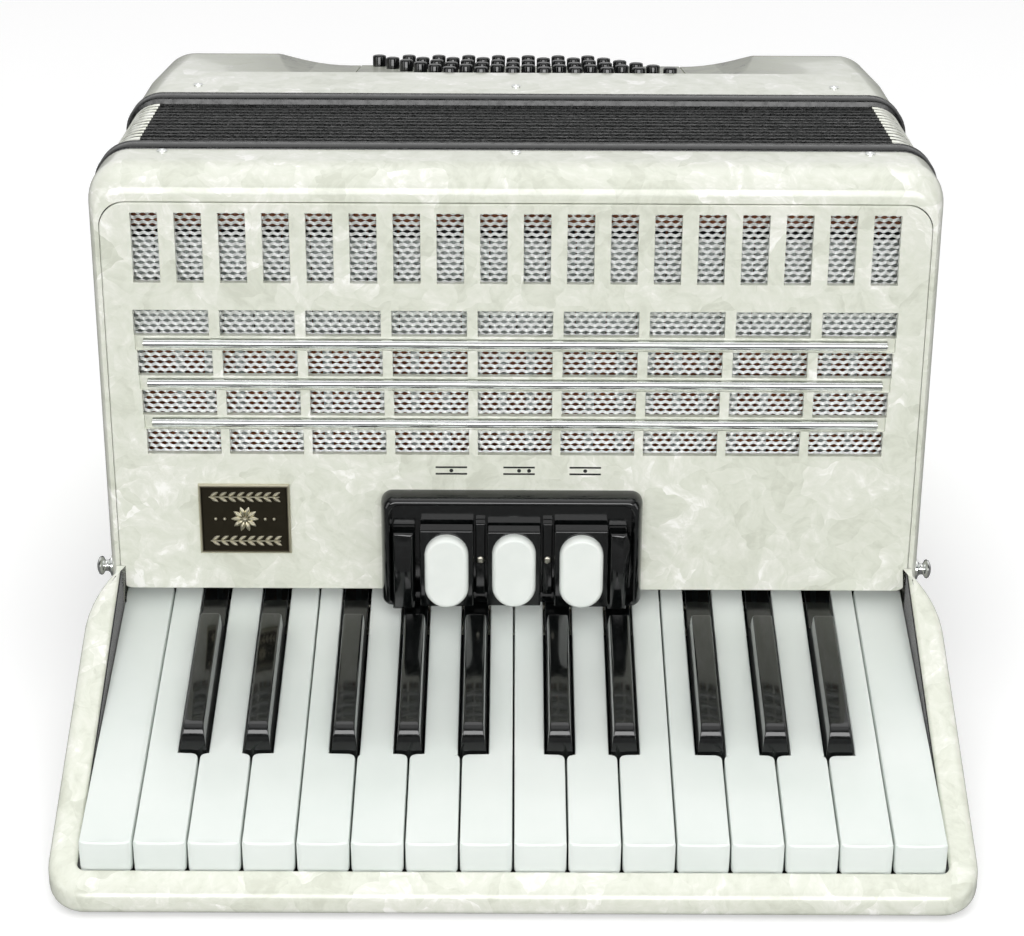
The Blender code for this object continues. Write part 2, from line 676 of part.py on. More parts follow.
def air_button(finish, parent):
    start = BASS_END + GAP + 0.0042
    x, z = -HALF + 0.042, STRAP_Z + STRAP_WIDTH / 2 + 0.016
    rings = [circle(radius, (x, y, z), "Y", 16)
             for y, radius in ((start, 0.0055), (start + 0.0035, 0.0055), (start + 0.0045, 0.0045))]
    add("air_button", loft(rings), finish, parent, pivot=(x, start, z))


def main():
    clear_scene()
    pearl = material("pearl_celluloid", (0.86, 0.86, 0.82), 0.25)
    white = material("white_key_plastic", (0.88, 0.90, 0.88), 0.2)
    black = material("black_gloss_plastic", (0.012, 0.012, 0.013), 0.15)
    frame_black = material("black_frame_lacquer", (0.015, 0.015, 0.016), 0.3)
    cloth = material("bellows_cloth", (0.02, 0.02, 0.02), 0.7)
    chrome = material("chrome", (0.8, 0.8, 0.8), 0.1, 1.0)
    steel = material("steel_mesh", (0.6, 0.62, 0.62), 0.35, 1.0)
    brass = material("antique_brass", (0.30, 0.27, 0.20), 0.4, 1.0)
    wood = material("beech", (0.45, 0.25, 0.14), 0.6)
    leather = material("black_leather", (0.03, 0.03, 0.03), 0.6)
    rubber = material("black_rubber", (0.02, 0.02, 0.02), 0.8)

    tilt = rest_tilt()
    instrument = empty("instrument", tilt=-tilt)
    treble = empty("treble_side", parent=instrument)
    bass = empty("bass_side", parent=instrument)
    field = empty("button_field", (0, BASS_Y + SCOOP_START, scoop_height(BASS_Y + SCOOP_START)),
                  bass, -SCOOP_ANGLE)

    treble_casing(pearl, treble)
    grille_panel(pearl, treble)
    grille_mesh(steel, treble)
    trim_bars(chrome, treble)
    white_keys(white, treble)
    black_keys(black, treble)
    key_axle(steel, treble)
    keyboard_base(pearl, treble)
    register_housing(black, treble)
    register_switches(white, treble)
    badge_plate(brass, treble)
    treble_inside(wood, treble)
    strap_studs(chrome, treble)
    ring_frame("treble_bellows_frame", frame_black, treble, TREBLE_FRAME_Y, FRAME_DEPTH,
               FRAME_PROUD, FRAME_RING, 0.0008)
    ring_frame("bellows", cloth, bass, BELLOWS_Y, BELLOWS_LENGTH, -BELLOWS_INSET, BELLOWS_RING)
    ring_frame("bass_bellows_frame", frame_black, bass, BASS_FRAME_Y, FRAME_DEPTH, FRAME_PROUD,
               FRAME_RING, 0.0008)
    bass_casing(pearl, bass, field)
    bass_button_plate(pearl, field)
    bass_button_rows(black, field)
    bass_inside(wood, bass)
    bass_feet(rubber, bass, tilt)
    bass_strap(leather, bass)
    strap_wheel(chrome, bass)
    air_button(black, bass)

    bpy.context.view_layer.update()
    corners = [made.matrix_world @ vertex.co for made in bpy.data.objects if made.type == "MESH"
               for vertex in made.data.vertices]
    low = Vector([min(corner[k] for corner in corners) for k in range(3)])
    high = Vector([max(corner[k] for corner in corners) for k in range(3)])
    instrument.location = (-(low.x + high.x) / 2, -(low.y + high.y) / 2, -low.z)
    bpy.context.view_layer.update()


main()
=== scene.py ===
"""A small piano accordion, laid on its back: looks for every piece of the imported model."""
import math
import json
import random

import bmesh
import bpy
from mathutils import Matrix, Vector


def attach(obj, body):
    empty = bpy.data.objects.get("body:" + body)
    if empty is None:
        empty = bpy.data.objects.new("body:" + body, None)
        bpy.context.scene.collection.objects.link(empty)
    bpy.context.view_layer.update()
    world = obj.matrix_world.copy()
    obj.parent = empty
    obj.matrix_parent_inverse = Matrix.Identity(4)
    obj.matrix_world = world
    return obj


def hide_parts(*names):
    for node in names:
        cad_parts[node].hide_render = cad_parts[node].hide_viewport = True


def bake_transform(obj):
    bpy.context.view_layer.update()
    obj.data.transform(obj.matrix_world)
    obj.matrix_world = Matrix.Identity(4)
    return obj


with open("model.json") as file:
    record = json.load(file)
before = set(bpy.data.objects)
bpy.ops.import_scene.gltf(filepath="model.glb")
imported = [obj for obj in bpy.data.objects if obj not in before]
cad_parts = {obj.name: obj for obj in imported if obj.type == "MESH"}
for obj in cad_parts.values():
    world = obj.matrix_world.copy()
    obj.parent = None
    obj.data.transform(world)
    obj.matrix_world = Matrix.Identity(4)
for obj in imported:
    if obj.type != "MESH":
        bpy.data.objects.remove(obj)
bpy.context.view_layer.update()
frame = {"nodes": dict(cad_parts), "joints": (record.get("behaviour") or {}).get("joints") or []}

# ---- How the instrument lies ---------------------------------------------------------------
# The accordion lies on its back, a little nose-down. Pieces are drawn in the instrument's own
# axes: x to the high notes, y from the grille panel to the bass end, z from the back to the front.
slide = next(joint for joint in frame["joints"] if joint["name"] == "bellows_slide")
along = -Vector(slide["axis"])
across = Vector((0, -along.z, along.y))
turned = Matrix((Vector((1, 0, 0)), along, across)).transposed()


def extent(node, axis):
    """Lowest and highest reach of a CAD node along an axis, from the world's origin."""
    reach = [axis.dot(vertex.co) for vertex in frame["nodes"][node].data.vertices]
    return min(reach), max(reach)


front_y = extent("grille_panel", along)[0]
back_z = extent("treble_casing", across)[0]
lie = Matrix.Translation(turned @ Vector((0, front_y, back_z))) @ turned.to_4x4()


def span(node, letter):
    """Reach of a CAD node in the instrument's own axes."""
    axis, start = {"x": (Vector((1, 0, 0)), 0.0), "y": (along, front_y), "z": (across, back_z)}[letter]
    low, high = extent(node, axis)
    return low - start, high - start


def colour(code):
    """An sRGB hex value as a linear colour."""
    parts = [int(code[k:k + 2], 16) / 255 for k in (1, 3, 5)]
    return [v / 12.92 if v <= 0.04045 else ((v + 0.055) / 1.055) ** 2.4 for v in parts] + [1.0]


def add_node(tree, kind, inputs=None, **settings):
    """A node with its settings, its values and its links."""
    made = tree.nodes.new(kind)
    for key, value in settings.items():
        setattr(made, key, value)
    for key, value in (inputs or {}).items():
        if isinstance(value, bpy.types.NodeSocket):
            tree.links.new(value, made.inputs[key])
        else:
            made.inputs[key].default_value = value
    return made


def finish(name, **constants):
    """A material with its Principled shader, whose even values are set on the sockets."""
    made = bpy.data.materials.new(name)
    made.use_nodes = True
    shader = made.node_tree.nodes["Principled BSDF"]
    for key, value in constants.items():
        shader.inputs[key.replace("_", " ")].default_value = value
    place = made.node_tree.nodes.new("ShaderNodeTexCoord").outputs["Object"]
    return made, made.node_tree, shader, place


def ramp(tree, factor, *stops):
    """Colours along a factor: (place, hex code) pairs."""
    made = add_node(tree, "ShaderNodeValToRGB", {"Fac": factor})
    points = made.color_ramp.elements
    while len(points) < len(stops):
        points.new(1.0)
    for point, (at, code) in zip(points, stops):
        point.position = at
        point.color = colour(code)
    return made.outputs["Color"]


def level(tree, factor, low, high, start=0.0, end=1.0):
    """A factor turned into a value between two limits."""
    made = add_node(tree, "ShaderNodeMapRange", {"Value": factor, "From Min": start, "From Max": end,
                                                 "To Min": low, "To Max": high})
    return made.outputs["Result"]


def noise(tree, place, scale, detail):
    """Cloudy noise, with its scale per metre."""
    made = add_node(tree, "ShaderNodeTexNoise", {"Vector": place, "Scale": scale, "Detail": detail})
    return made.outputs["Fac"]


def tint(tree, shader, factor, *stops):
    """The base colour along a factor."""
    tree.links.new(ramp(tree, factor, *stops), shader.inputs["Base Color"])


def dull(tree, shader, factor, *limits):
    """The roughness along a factor."""
    tree.links.new(level(tree, factor, *limits), shader.inputs["Roughness"])


def bump(tree, shader, height, depth, strength=1.0):
    """Relief on the surface, with its depth in metres."""
    made = add_node(tree, "ShaderNodeBump", {"Height": height, "Distance": depth, "Strength": strength})
    tree.links.new(made.outputs["Normal"], shader.inputs["Normal"])


def grained(name, scale, detail, stops, gloss=None, relief=None, **constants):
    """A finish whose tone wanders with one fine noise, and its gloss and relief where they are given."""
    made, tree, shader, place = finish(name, **constants)
    grain = noise(tree, place, scale, detail)
    tint(tree, shader, grain, *stops)
    if gloss:
        dull(tree, shader, grain, *gloss)
    if relief:
        bump(tree, shader, grain, *relief)
    return made


def loft(rings, closed=False):
    """Skin over rings of equal numbers of points; its two ends are capped unless it closes."""
    bm = bmesh.new()
    rows = [[bm.verts.new(point) for point in ring] for ring in rings]
    count = len(rows[0])
    pairs = list(zip(rows, rows[1:]))
    if closed:
        pairs.append((rows[-1], rows[0]))
    for one, two in pairs:
        for k in range(count):
            after = (k + 1) % count
            bm.faces.new((one[k], one[after], two[after], two[k]))
    if not closed:
        bm.faces.new(rows[0])
        bm.faces.new(rows[-1])
    return bm


def circle(sides):
    """Cosine and sine of each corner of a circle."""
    return [(math.cos(2 * math.pi * k / sides), math.sin(2 * math.pi * k / sides)) for k in range(sides)]


def turned_shape(x, z, profile, sides=32, closed=False):
    """A shape turned about a line along y from (y, radius) pairs."""
    return loft([[(x + r * c, y, z + r * s) for c, s in circle(sides)] for y, r in profile], closed)


def gather(into, bm):
    """Put one more shape into a piece."""
    spare = bpy.data.meshes.new("spare")
    bm.to_mesh(spare)
    bm.free()
    into.from_mesh(spare)


def outline(half, low, high, radius, y, back=None, steps=12, middle=0.0):
    """Rounded rectangle across y; the two back corners may have their own radius."""
    back = radius if back is None else back
    points = []
    corners = ((1, high - radius, radius, 0), (-1, high - radius, radius, 90),
               (-1, low + back, back, 180), (1, low + back, back, 270))
    for side, z, size, start in corners:
        x = middle + side * (half - size)
        for k in range(steps + 1):
            angle = math.radians(start + 90 * k / steps)
            points.append((x + size * math.cos(angle), y, z + size * math.sin(angle)))
    return points


def slab(bm, low, high):
    """A plain block inside a bigger shape."""
    made = bmesh.ops.create_cube(bm, size=1.0)["verts"]
    bmesh.ops.scale(bm, vec=Vector(high) - Vector(low), verts=made)
    bmesh.ops.translate(bm, vec=(Vector(low) + Vector(high)) / 2, verts=made)


def round_edges(made, width, segments, degrees, harden=True):
    """Round the edges that are sharper than an angle."""
    edge = made.modifiers.new("ease", "BEVEL")
    edge.width = width
    edge.segments = segments
    edge.limit_method = "ANGLE"
    edge.angle_limit = math.radians(degrees)
    edge.harden_normals = harden


def part(name, bm, material, body, nodes=(), smooth=35, soften=0.0, joint_steps=2):
    """Lay a shape drawn in the instrument's axes in its place, and fix it to its body."""
    bmesh.ops.recalc_face_normals(bm, faces=bm.faces)
    mesh = bpy.data.meshes.new(name)
    bm.to_mesh(mesh)
    bm.free()
    mesh.transform(lie)
    mesh.shade_smooth()
    mesh.set_sharp_from_angle(angle=math.radians(smooth))
    if material:
        mesh.materials.append(material)
    made = bpy.data.objects.new(name, mesh)
    bpy.context.collection.objects.link(made)
    if soften:
        round_edges(made, soften, joint_steps, 38)
    if body:
        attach(made, body)
        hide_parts(*nodes)
    return made


def carve(target, cutter, operation="DIFFERENCE"):
    """Cut a shape out of a piece and drop the cutter."""
    tool = part("cutter", cutter, None, None)
    step = target.modifiers.new("carve", "BOOLEAN")
    step.operation = operation
    step.object = tool
    target.modifiers.move(len(target.modifiers) - 1, 0)
    bpy.context.view_layer.update()
    kept = [m for m in target.modifiers if m.name != "carve"]
    for m in kept:
        m.show_viewport = False
    done = target.evaluated_get(bpy.context.evaluated_depsgraph_get())
    target.data = bpy.data.meshes.new_from_object(done)
    target.modifiers.remove(target.modifiers["carve"])
    for m in kept:
        m.show_viewport = True
    target.data.set_sharp_from_angle(angle=math.radians(35))
    bpy.data.objects.remove(tool)


# ---- Camera --------------------------------------------------------------------------------
# A long lens in front of the keyboard, above it, looking down the bellows.
eye = lie @ Vector((-0.0010, -0.8277, 0.4128))
look_down = math.radians(22.3)
gaze = turned @ Vector((0, math.cos(look_down), -math.sin(look_down)))
lens = bpy.data.cameras.new("camera")
lens.lens = 82.6
lens.sensor_width = 36.0
lens.clip_end = 20.0
camera = bpy.data.objects.new("camera", lens)
camera.rotation_euler = (gaze.to_track_quat("-Z", "Y").to_matrix()
                         @ Matrix.Rotation(math.radians(0.25), 3, "Z")).to_euler()
camera.location = eye
bpy.context.collection.objects.link(camera)
bpy.context.scene.camera = camera

# ---- Floor and lights ----------------------------------------------------------------------
# A white sweep before a pale backdrop, in soft light from the front, from above and from both
# sides. In reflections the sweep is dark, so that the black pieces stay black.
floor = bmesh.new()
bmesh.ops.create_grid(floor, x_segments=1, y_segments=1, size=30)
mesh = bpy.data.meshes.new("floor")
floor.to_mesh(mesh)
floor.free()
sweep, tree, shader, place = finish("white_sweep", Base_Color=colour("#F4F4F4"), Roughness=0.9)
shader.inputs["Specular IOR Level"].default_value = 0.1
shader.inputs["Emission Color"].default_value = (1.0, 1.0, 1.0, 1.0)
seen = add_node(tree, "ShaderNodeLightPath").outputs["Is Camera Ray"]
tree.links.new(level(tree, seen, 0.06, 0.22), shader.inputs["Emission Strength"])
tint(tree, shader, seen, (0.0, "#6A6A6A"), (1.0, "#F4F4F4"))
mesh.materials.append(sweep)
ground = bpy.data.objects.new("floor", mesh)
ground.location.z = -0.0005
bpy.context.collection.objects.link(ground)

world = bpy.data.worlds.new("studio")
world.use_nodes = True
sky = world.node_tree
toward = add_node(sky, "ShaderNodeSeparateXYZ",
                  {"Vector": sky.nodes.new("ShaderNodeTexCoord").outputs["Generated"]})
before = ramp(sky, toward.outputs["Z"], (0.0, "#6E6E6E"), (0.25, "#4A4A4A"), (0.66, "#505050"),
              (0.90, "#FFFFFF"))
behind = ramp(sky, toward.outputs["Z"], (0.0, "#F0F0F0"), (0.5, "#FFFFFF"))
backdrop = add_node(sky, "ShaderNodeMix", {"Factor": level(sky, toward.outputs["Y"], 0.0, 1.0, 0.1, 0.5),
                                           6: before, 7: behind}, data_type="RGBA")
sky.links.new(backdrop.outputs[2], sky.nodes["Background"].inputs["Color"])
sky.nodes["Background"].inputs["Strength"].default_value = 0.95
bpy.context.scene.world = world
bpy.context.scene.view_settings.view_transform = "Standard"


def softbox(name, place, aim, width, height, watts):
    """A rectangular soft light aimed at a point."""
    data = bpy.data.lights.new(name, "AREA")
    data.shape = "RECTANGLE"
    data.size, data.size_y, data.energy = width, height, watts
    made = bpy.data.objects.new(name, data)
    made.location = place
    made.rotation_euler = (Vector(aim) - Vector(place)).to_track_quat("-Z", "Y").to_euler()
    bpy.context.collection.objects.link(made)


softbox("overhead", (0.0, 0.35, 1.50), (0, 0.1, 0.0), 1.6, 0.9, 3.5)
softbox("front_box", (0.0, -1.70, 0.75), (0, 0, 0.1), 1.8, 0.7, 23.0)
softbox("left_box", (-1.50, -0.90, 0.65), (0, 0, 0.1), 0.9, 1.2, 6.0)
softbox("right_box", (1.50, -0.90, 0.65), (0, 0, 0.1), 0.9, 1.2, 6.0)

# ---- Treble casing -------------------------------------------------------------------------
# A thin wooden shell covered in mother-of-pearl celluloid: flakes of fine bright streaks, each
# lying its own way, under a polished clear skin. Its front edge is rounded down to the panel.
casing_half = span("treble_casing", "x")[1]
casing_front = span("treble_casing", "z")[1]
casing_depth = span("treble_casing", "y")[1]
panel_half = span("grille_panel", "x")[1]
panel_low, panel_high = span("grille_panel", "z")
panel_thickness = span("grille_panel", "y")[1]
corner = 0.014
back_corner = 0.010
panel_corner = 0.010
wall = 0.004
hair = 0.0003


def pearl_finish(name, flake=0.020, pale="#FAFAF4", deep="#D0D3C4"):
    """Mother-of-pearl celluloid: cast flakes some 20 mm across, polished."""
    made, tree, shader, place = finish(name, Roughness=0.16, IOR=1.50, Coat_Weight=0.35,
                                       Coat_Roughness=0.04)
    wander = add_node(tree, "ShaderNodeTexNoise", {"Vector": place, "Scale": 0.9 / flake, "Detail": 3.0})
    shift = add_node(tree, "ShaderNodeVectorMath", {0: wander.outputs["Color"], 1: (0.5, 0.5, 0.5)},
                     operation="SUBTRACT")
    push = add_node(tree, "ShaderNodeVectorMath", {0: shift.outputs[0], "Scale": flake * 0.9},
                    operation="SCALE")
    bent = add_node(tree, "ShaderNodeVectorMath", {0: place, 1: push.outputs[0]}, operation="ADD")
    layers = []
    for size, seed in ((1.0, 0.0), (0.55, 3.7)):
        moved = add_node(tree, "ShaderNodeVectorMath", {0: bent.outputs[0], 1: (seed, seed, seed)},
                         operation="ADD")
        cells = add_node(tree, "ShaderNodeTexVoronoi", {"Vector": moved.outputs[0],
                                                        "Scale": 1 / (flake * size)})
        own = add_node(tree, "ShaderNodeSeparateColor", {"Color": cells.outputs["Color"]})
        turn = level(tree, own.outputs["Red"], 0.0, 6.28)
        lean = level(tree, own.outputs["Green"], -1.0, 1.0)
        axis = add_node(tree, "ShaderNodeCombineXYZ", {"X": 0.3, "Y": lean, "Z": 1.0})
        spun = add_node(tree, "ShaderNodeVectorRotate", {"Vector": moved.outputs[0],
                                                         "Axis": axis.outputs[0], "Angle": turn})
        drawn = add_node(tree, "ShaderNodeMapping", {"Vector": spun.outputs[0],
                                                     "Scale": (1.0, 0.16, 1.0)})
        streak = add_node(tree, "ShaderNodeTexNoise", {"Vector": drawn.outputs[0],
                                                       "Scale": 3.2 / (flake * size), "Detail": 5.0,
                                                       "Roughness": 0.62, "Distortion": 0.35})
        sheen = level(tree, own.outputs["Blue"], -0.16, 0.16)
        layers.append(add_node(tree, "ShaderNodeMath", {0: streak.outputs["Fac"], 1: sheen},
                               operation="ADD").outputs[0])
    both = add_node(tree, "ShaderNodeMix", {"Factor": 0.42, "A": layers[0], "B": layers[1]})
    tone = ramp(tree, both.outputs[0], (0.32, deep), (0.47, "#DDE0D2"), (0.57, "#E3E5D9"),
                (0.64, "#EBECE2"), (0.70, pale))
    tree.links.new(tone, shader.inputs["Base Color"])
    dull(tree, shader, both.outputs[0], 0.26, 0.12, 0.35, 0.65)
    bump(tree, shader, wander.outputs["Fac"], 0.0001, 0.25)
    return made


pearl = pearl_finish("polished_pearl_celluloid")

rings = []
lip = panel_thickness / 3
round_over = casing_front - panel_high
first = math.acos(1 - lip / round_over)
for k in range(13):
    angle = first + (math.pi / 2 - first) * k / 12
    rise = math.sin(angle)
    rings.append(outline(panel_half + (casing_half - panel_half) * rise, 0.0,
                         panel_high + round_over * rise, panel_corner + (corner - panel_corner) * rise,
                         round_over * (1 - math.cos(angle)), back=back_corner))
edge = 0.0006
rings.append(outline(casing_half, 0.0, casing_front, corner, casing_depth - edge, back_corner))
rings.append(outline(casing_half - edge, edge, casing_front - edge, corner - edge, casing_depth,
                     back_corner - edge))
for y in (casing_depth, round_over):
    rings.append(outline(casing_half - wall, wall, casing_front - wall, corner - wall, y, 0.003))
for y in (panel_thickness + hair, lip):
    rings.append(outline(panel_half + hair, wall, panel_high + hair, panel_corner, y, 0.003))
part("treble_casing_shell", loft(rings, closed=True), pearl, "treble_side", ["treble_casing"])

# ---- Grille panel --------------------------------------------------------------------------
# A flat plate of pearl celluloid on card, with two patterns of punched slots for the sound and
# three shallow channels that hold the chrome bars.
slot_rows = [(18, 0.010, 0.016, 0.0037, 0.0267)]
slot_rows += [(9, 0.028, 0.032 - row * 0.00022, 0.041 + row * 0.0158, 0.010) for row in range(4)]
bar_halves = [span(f"trim_bar_{k}", "x")[1] for k in (1, 2, 3)]
bar_heights = [sum(span(f"trim_bar_{k}", "z")) / 2 for k in (1, 2, 3)]
channel = 0.0027
channel_depth = 0.0011

ease = 0.0004
rings = [outline(panel_half - ease, panel_low + ease, panel_high - ease, panel_corner - ease, 0.0, 0.004),
         outline(panel_half, panel_low, panel_high, panel_corner, ease, 0.004 + ease),
         outline(panel_half, panel_low, panel_high, panel_corner, panel_thickness, 0.004 + ease)]
plate = part("grille_plate", loft(rings), pearl, "treble_side", ["grille_panel"])
holes = bmesh.new()
for count, width, pitch, down, height in slot_rows:
    for k in range(count):
        middle = (k - (count - 1) / 2) * pitch
        top = panel_high - down
        slab(holes, (middle - width / 2, -0.01, top - height), (middle + width / 2, 0.02, top))
carve(plate, holes)
grooves = bmesh.new()
for z, half in zip(bar_heights, bar_halves):
    slab(grooves, (-half - 0.0025, -0.01, z - channel), (half + 0.0025, channel_depth, z + channel))
carve(plate, grooves)
round_edges(plate, 0.0003, 2, 50)

# ---- Keyboard base -------------------------------------------------------------------------
# The tray that the keys lie in, wrapped in the same celluloid: a rim bent round three sides with
# rolled edges, and a thin floor. Black felt lines the floor and the rim inside.
base_half = span("keyboard_base", "x")[1]
base_front = -span("keyboard_base", "y")[0]
base_depth = 0.042
rim_width = 0.009
tray_half = span("white_key_16", "x")[1] + 0.00085
outer_radius = 0.014
inner_radius = 0.003
roll_inside = 0.0014
roll_outside = 0.0034
flare = 0.026
waist = panel_half + 0.0012


def base_under(y):
    return base_depth * y / base_front


def rim_top(y):
    return 0.032 + 0.4901 * y


def rim_ring(inner, outer):
    """Section of the rim between an inner and an outer point, with rolled edges."""
    inner, outer = Vector(inner), Vector(outer)
    out = (outer - inner).normalized()
    ring = []

    def point(flat, z_of, lift):
        ring.append((flat.x, flat.y, z_of(flat.y) + lift))

    point(inner, base_under, 0.0005)
    for centre, radius, way, start in ((inner, roll_inside, 1, 180), (outer, roll_outside, -1, 90)):
        for k in range(7):
            angle = math.radians(start - 90 * k / 6)
            point(centre + out * radius * (way + math.cos(angle)), rim_top, radius * (math.sin(angle) - 1))
    for k in range(7):
        angle = math.radians(-90 * k / 6)
        point(outer + out * roll_outside * (math.cos(angle) - 1), base_under,
              roll_outside * (1 + math.sin(angle)))
    return ring


stations = []
for k in range(25):
    y = -hair - (base_front - outer_radius - hair) * (k / 24) ** 1.3
    spread = min(1.0, -y / flare)
    stations.append(((tray_half, y), (base_half - (base_half - waist) * (1 - spread) ** 2, y)))
for k in range(1, 13):
    angle = math.radians(-90 * k / 12)
    turn = Vector((math.cos(angle), math.sin(angle)))
    outer = Vector((base_half - outer_radius, -base_front + outer_radius)) + outer_radius * turn
    inner = Vector((tray_half - inner_radius, -base_front + rim_width + inner_radius)) + inner_radius * turn
    stations.append((tuple(inner), tuple(outer)))
for k in range(1, 12):
    x = (tray_half - inner_radius) * (1 - k / 12)
    stations.append(((x, -base_front + rim_width), (x, -base_front)))
stations += [((-inner[0], inner[1]), (-outer[0], outer[1])) for inner, outer in reversed(stations[:-1])]
part("keyboard_base_rim", loft([rim_ring(inner, outer) for inner, outer in stations]), pearl,
     "treble_side", ["keyboard_base"])
floor_plan = [(tray_half + 0.004, -hair), (tray_half + 0.004, -base_front + rim_width - 0.004)]
floor_plan += [(-x, y) for x, y in reversed(floor_plan)]
part("keyboard_base_floor", loft([[(x, y, base_under(y) + 0.0001) for x, y in floor_plan],
                                  [(x, y, base_under(y) + 0.0020) for x, y in floor_plan]]),
     pearl, "treble_side")

felt = grained("pressed_black_felt", 1800.0, 4.0, ((0.3, "#08090A"), (0.7, "#1B1C1D")),
               relief=(0.0004, 0.8), Roughness=0.95, Sheen_Weight=0.4, Sheen_Roughness=0.5)
felt_plan = [(tray_half - 0.0002, -hair), (tray_half - 0.0002, -base_front + rim_width + 0.0002)]
felt_plan += [(-x, y) for x, y in reversed(felt_plan)]
part("key_bed_felt", loft([[(x, y, base_under(y) + 0.0020) for x, y in felt_plan],
                           [(x, y, base_under(y) + 0.0028) for x, y in felt_plan]]),
     felt, "treble_side")
lining = []
for inner, outer in stations:
    inner, outer = Vector(inner), Vector(outer)
    out = (outer - inner).normalized()
    low, high = base_under(inner.y) + 0.003, rim_top(inner.y) - 0.0017
    lining.append([(*(inner + out * shift), z) for shift, z in ((0.0003, low), (-0.00045, low),
                                                               (-0.00045, high), (0.0003, high))])
part("rim_lining", loft(lining), felt, "treble_side")

# ---- Expanded metal mesh -------------------------------------------------------------------
# Aluminium sheet, slit and stretched into rows of lens-shaped holes 3.4 mm long; the strands
# between the holes lie tilted, so that each one catches the light.
aluminium = grained("stretched_aluminium", 900.0, 3.0, ((0.3, "#E2E5E3"), (0.7, "#FBFCFB")),
                    gloss=(0.36, 0.52), Metallic=1.0, Roughness=0.42)


def repeat_tree(name):
    """Nodes that set one shape on each point of a mesh, as real geometry in its own finish."""
    tree = bpy.data.node_groups.new(name, "GeometryNodeTree")
    sockets = {}
    for label, kind in (("Points", "NodeSocketGeometry"), ("Shape", "NodeSocketObject"),
                        ("Size", "NodeSocketFloat"), ("Finish", "NodeSocketMaterial")):
        sockets[label] = tree.interface.new_socket(name=label, in_out="INPUT", socket_type=kind)
    tree.interface.new_socket(name="Geometry", in_out="OUTPUT", socket_type="NodeSocketGeometry")
    given = tree.nodes.new("NodeGroupInput").outputs
    shape = add_node(tree, "GeometryNodeObjectInfo", {"Object": given["Shape"]})
    turn = add_node(tree, "GeometryNodeInputNamedAttribute", {"Name": "turn"}, data_type="FLOAT_VECTOR")
    placed = add_node(tree, "GeometryNodeInstanceOnPoints",
                      {"Points": given["Points"], "Instance": shape.outputs["Geometry"],
                       "Rotation": turn.outputs["Attribute"], "Scale": given["Size"]})
    real = add_node(tree, "GeometryNodeRealizeInstances", {"Geometry": placed.outputs[0]})
    dressed = add_node(tree, "GeometryNodeSetMaterial", {"Geometry": real.outputs[0],
                                                         "Material": given["Finish"]})
    add_node(tree, "NodeGroupOutput", {"Geometry": dressed.outputs[0]})
    return tree, {label: socket.identifier for label, socket in sockets.items()}


setting_out, sockets = repeat_tree("set_out_on_points")


def repeat(name, shape, points, material, body, nodes=(), size=1.0, smooth=35, turns=None):
    """Copies of a shape, drawn about its own centre in the instrument's axes, at many points."""
    bmesh.ops.recalc_face_normals(shape, faces=shape.faces)
    unit_mesh = bpy.data.meshes.new("unit")
    shape.to_mesh(unit_mesh)
    shape.free()
    unit = bpy.data.objects.new("unit", unit_mesh)
    bpy.context.collection.objects.link(unit)
    cloud = bpy.data.meshes.new("cloud")
    cloud.from_pydata([tuple(point) for point in points], [], [])
    if turns:
        angles = cloud.attributes.new("turn", "FLOAT_VECTOR", "POINT")
        angles.data.foreach_set("vector", [value for turn in turns for value in turn])
    holder = bpy.data.objects.new("holder", cloud)
    bpy.context.collection.objects.link(holder)
    step = holder.modifiers.new("repeat", "NODES")
    step.node_group = setting_out
    step[sockets["Shape"]] = unit
    step[sockets["Size"]] = size
    step[sockets["Finish"]] = material
    bpy.context.view_layer.update()
    mesh = bpy.data.meshes.new_from_object(holder.evaluated_get(bpy.context.evaluated_depsgraph_get()))
    for spare in (unit, holder):
        bpy.data.objects.remove(spare)
    mesh.transform(lie)
    mesh.shade_smooth()
    mesh.set_sharp_from_angle(angle=math.radians(smooth))
    mesh.name = name
    made = bpy.data.objects.new(name, mesh)
    bpy.context.collection.objects.link(made)
    if body:
        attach(made, body)
        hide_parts(*nodes)
    return made


cell = 0.0034
strand_pitch = 0.00205
swing = 0.00030
strand_height = 0.00120
strand_depth = 0.00080
mesh_back = span("grille_mesh", "y")[1]
mesh_half = span("grille_mesh", "x")[1]


def strand():
    """One cell's length of a tilted strand, from bond to bond."""
    rings = []
    thick = 0.00016
    for k in range(7):
        x = cell * (k / 6 - 0.5)
        rise = -swing * math.cos(2 * math.pi * k / 6)
        twist = math.radians(34) * (1 if 0 < k < 6 else 0.7)
        up = Vector((0, math.sin(twist), math.cos(twist))) * strand_height / 2
        side = Vector((0, math.cos(twist), -math.sin(twist))) * thick
        centre = Vector((x, 0, rise))
        rings.append([centre + up + side, centre + up - side, centre - up - side, centre - up + side])
    return loft(rings)


points = []
mesh_low = slot_rows[-1][3] + slot_rows[-1][4]
windows = [(row[3] - 0.0015, row[3] + row[4] + 0.0015) for row in slot_rows]
for row in range(int(mesh_low / strand_pitch) + 1):
    down = 0.0024 + row * strand_pitch
    if not any(low <= down <= high for low, high in windows):
        continue
    offset = cell / 2 if row % 2 else 0.0
    columns = int(2 * mesh_half / cell)
    for k in range(columns):
        x = (k - (columns - 1) / 2) * cell + offset - cell / 4
        points.append((x, mesh_back + strand_depth / 2, panel_high - down))
repeat("expanded_mesh", strand(), points, aluminium, "treble_side", ["grille_mesh"])

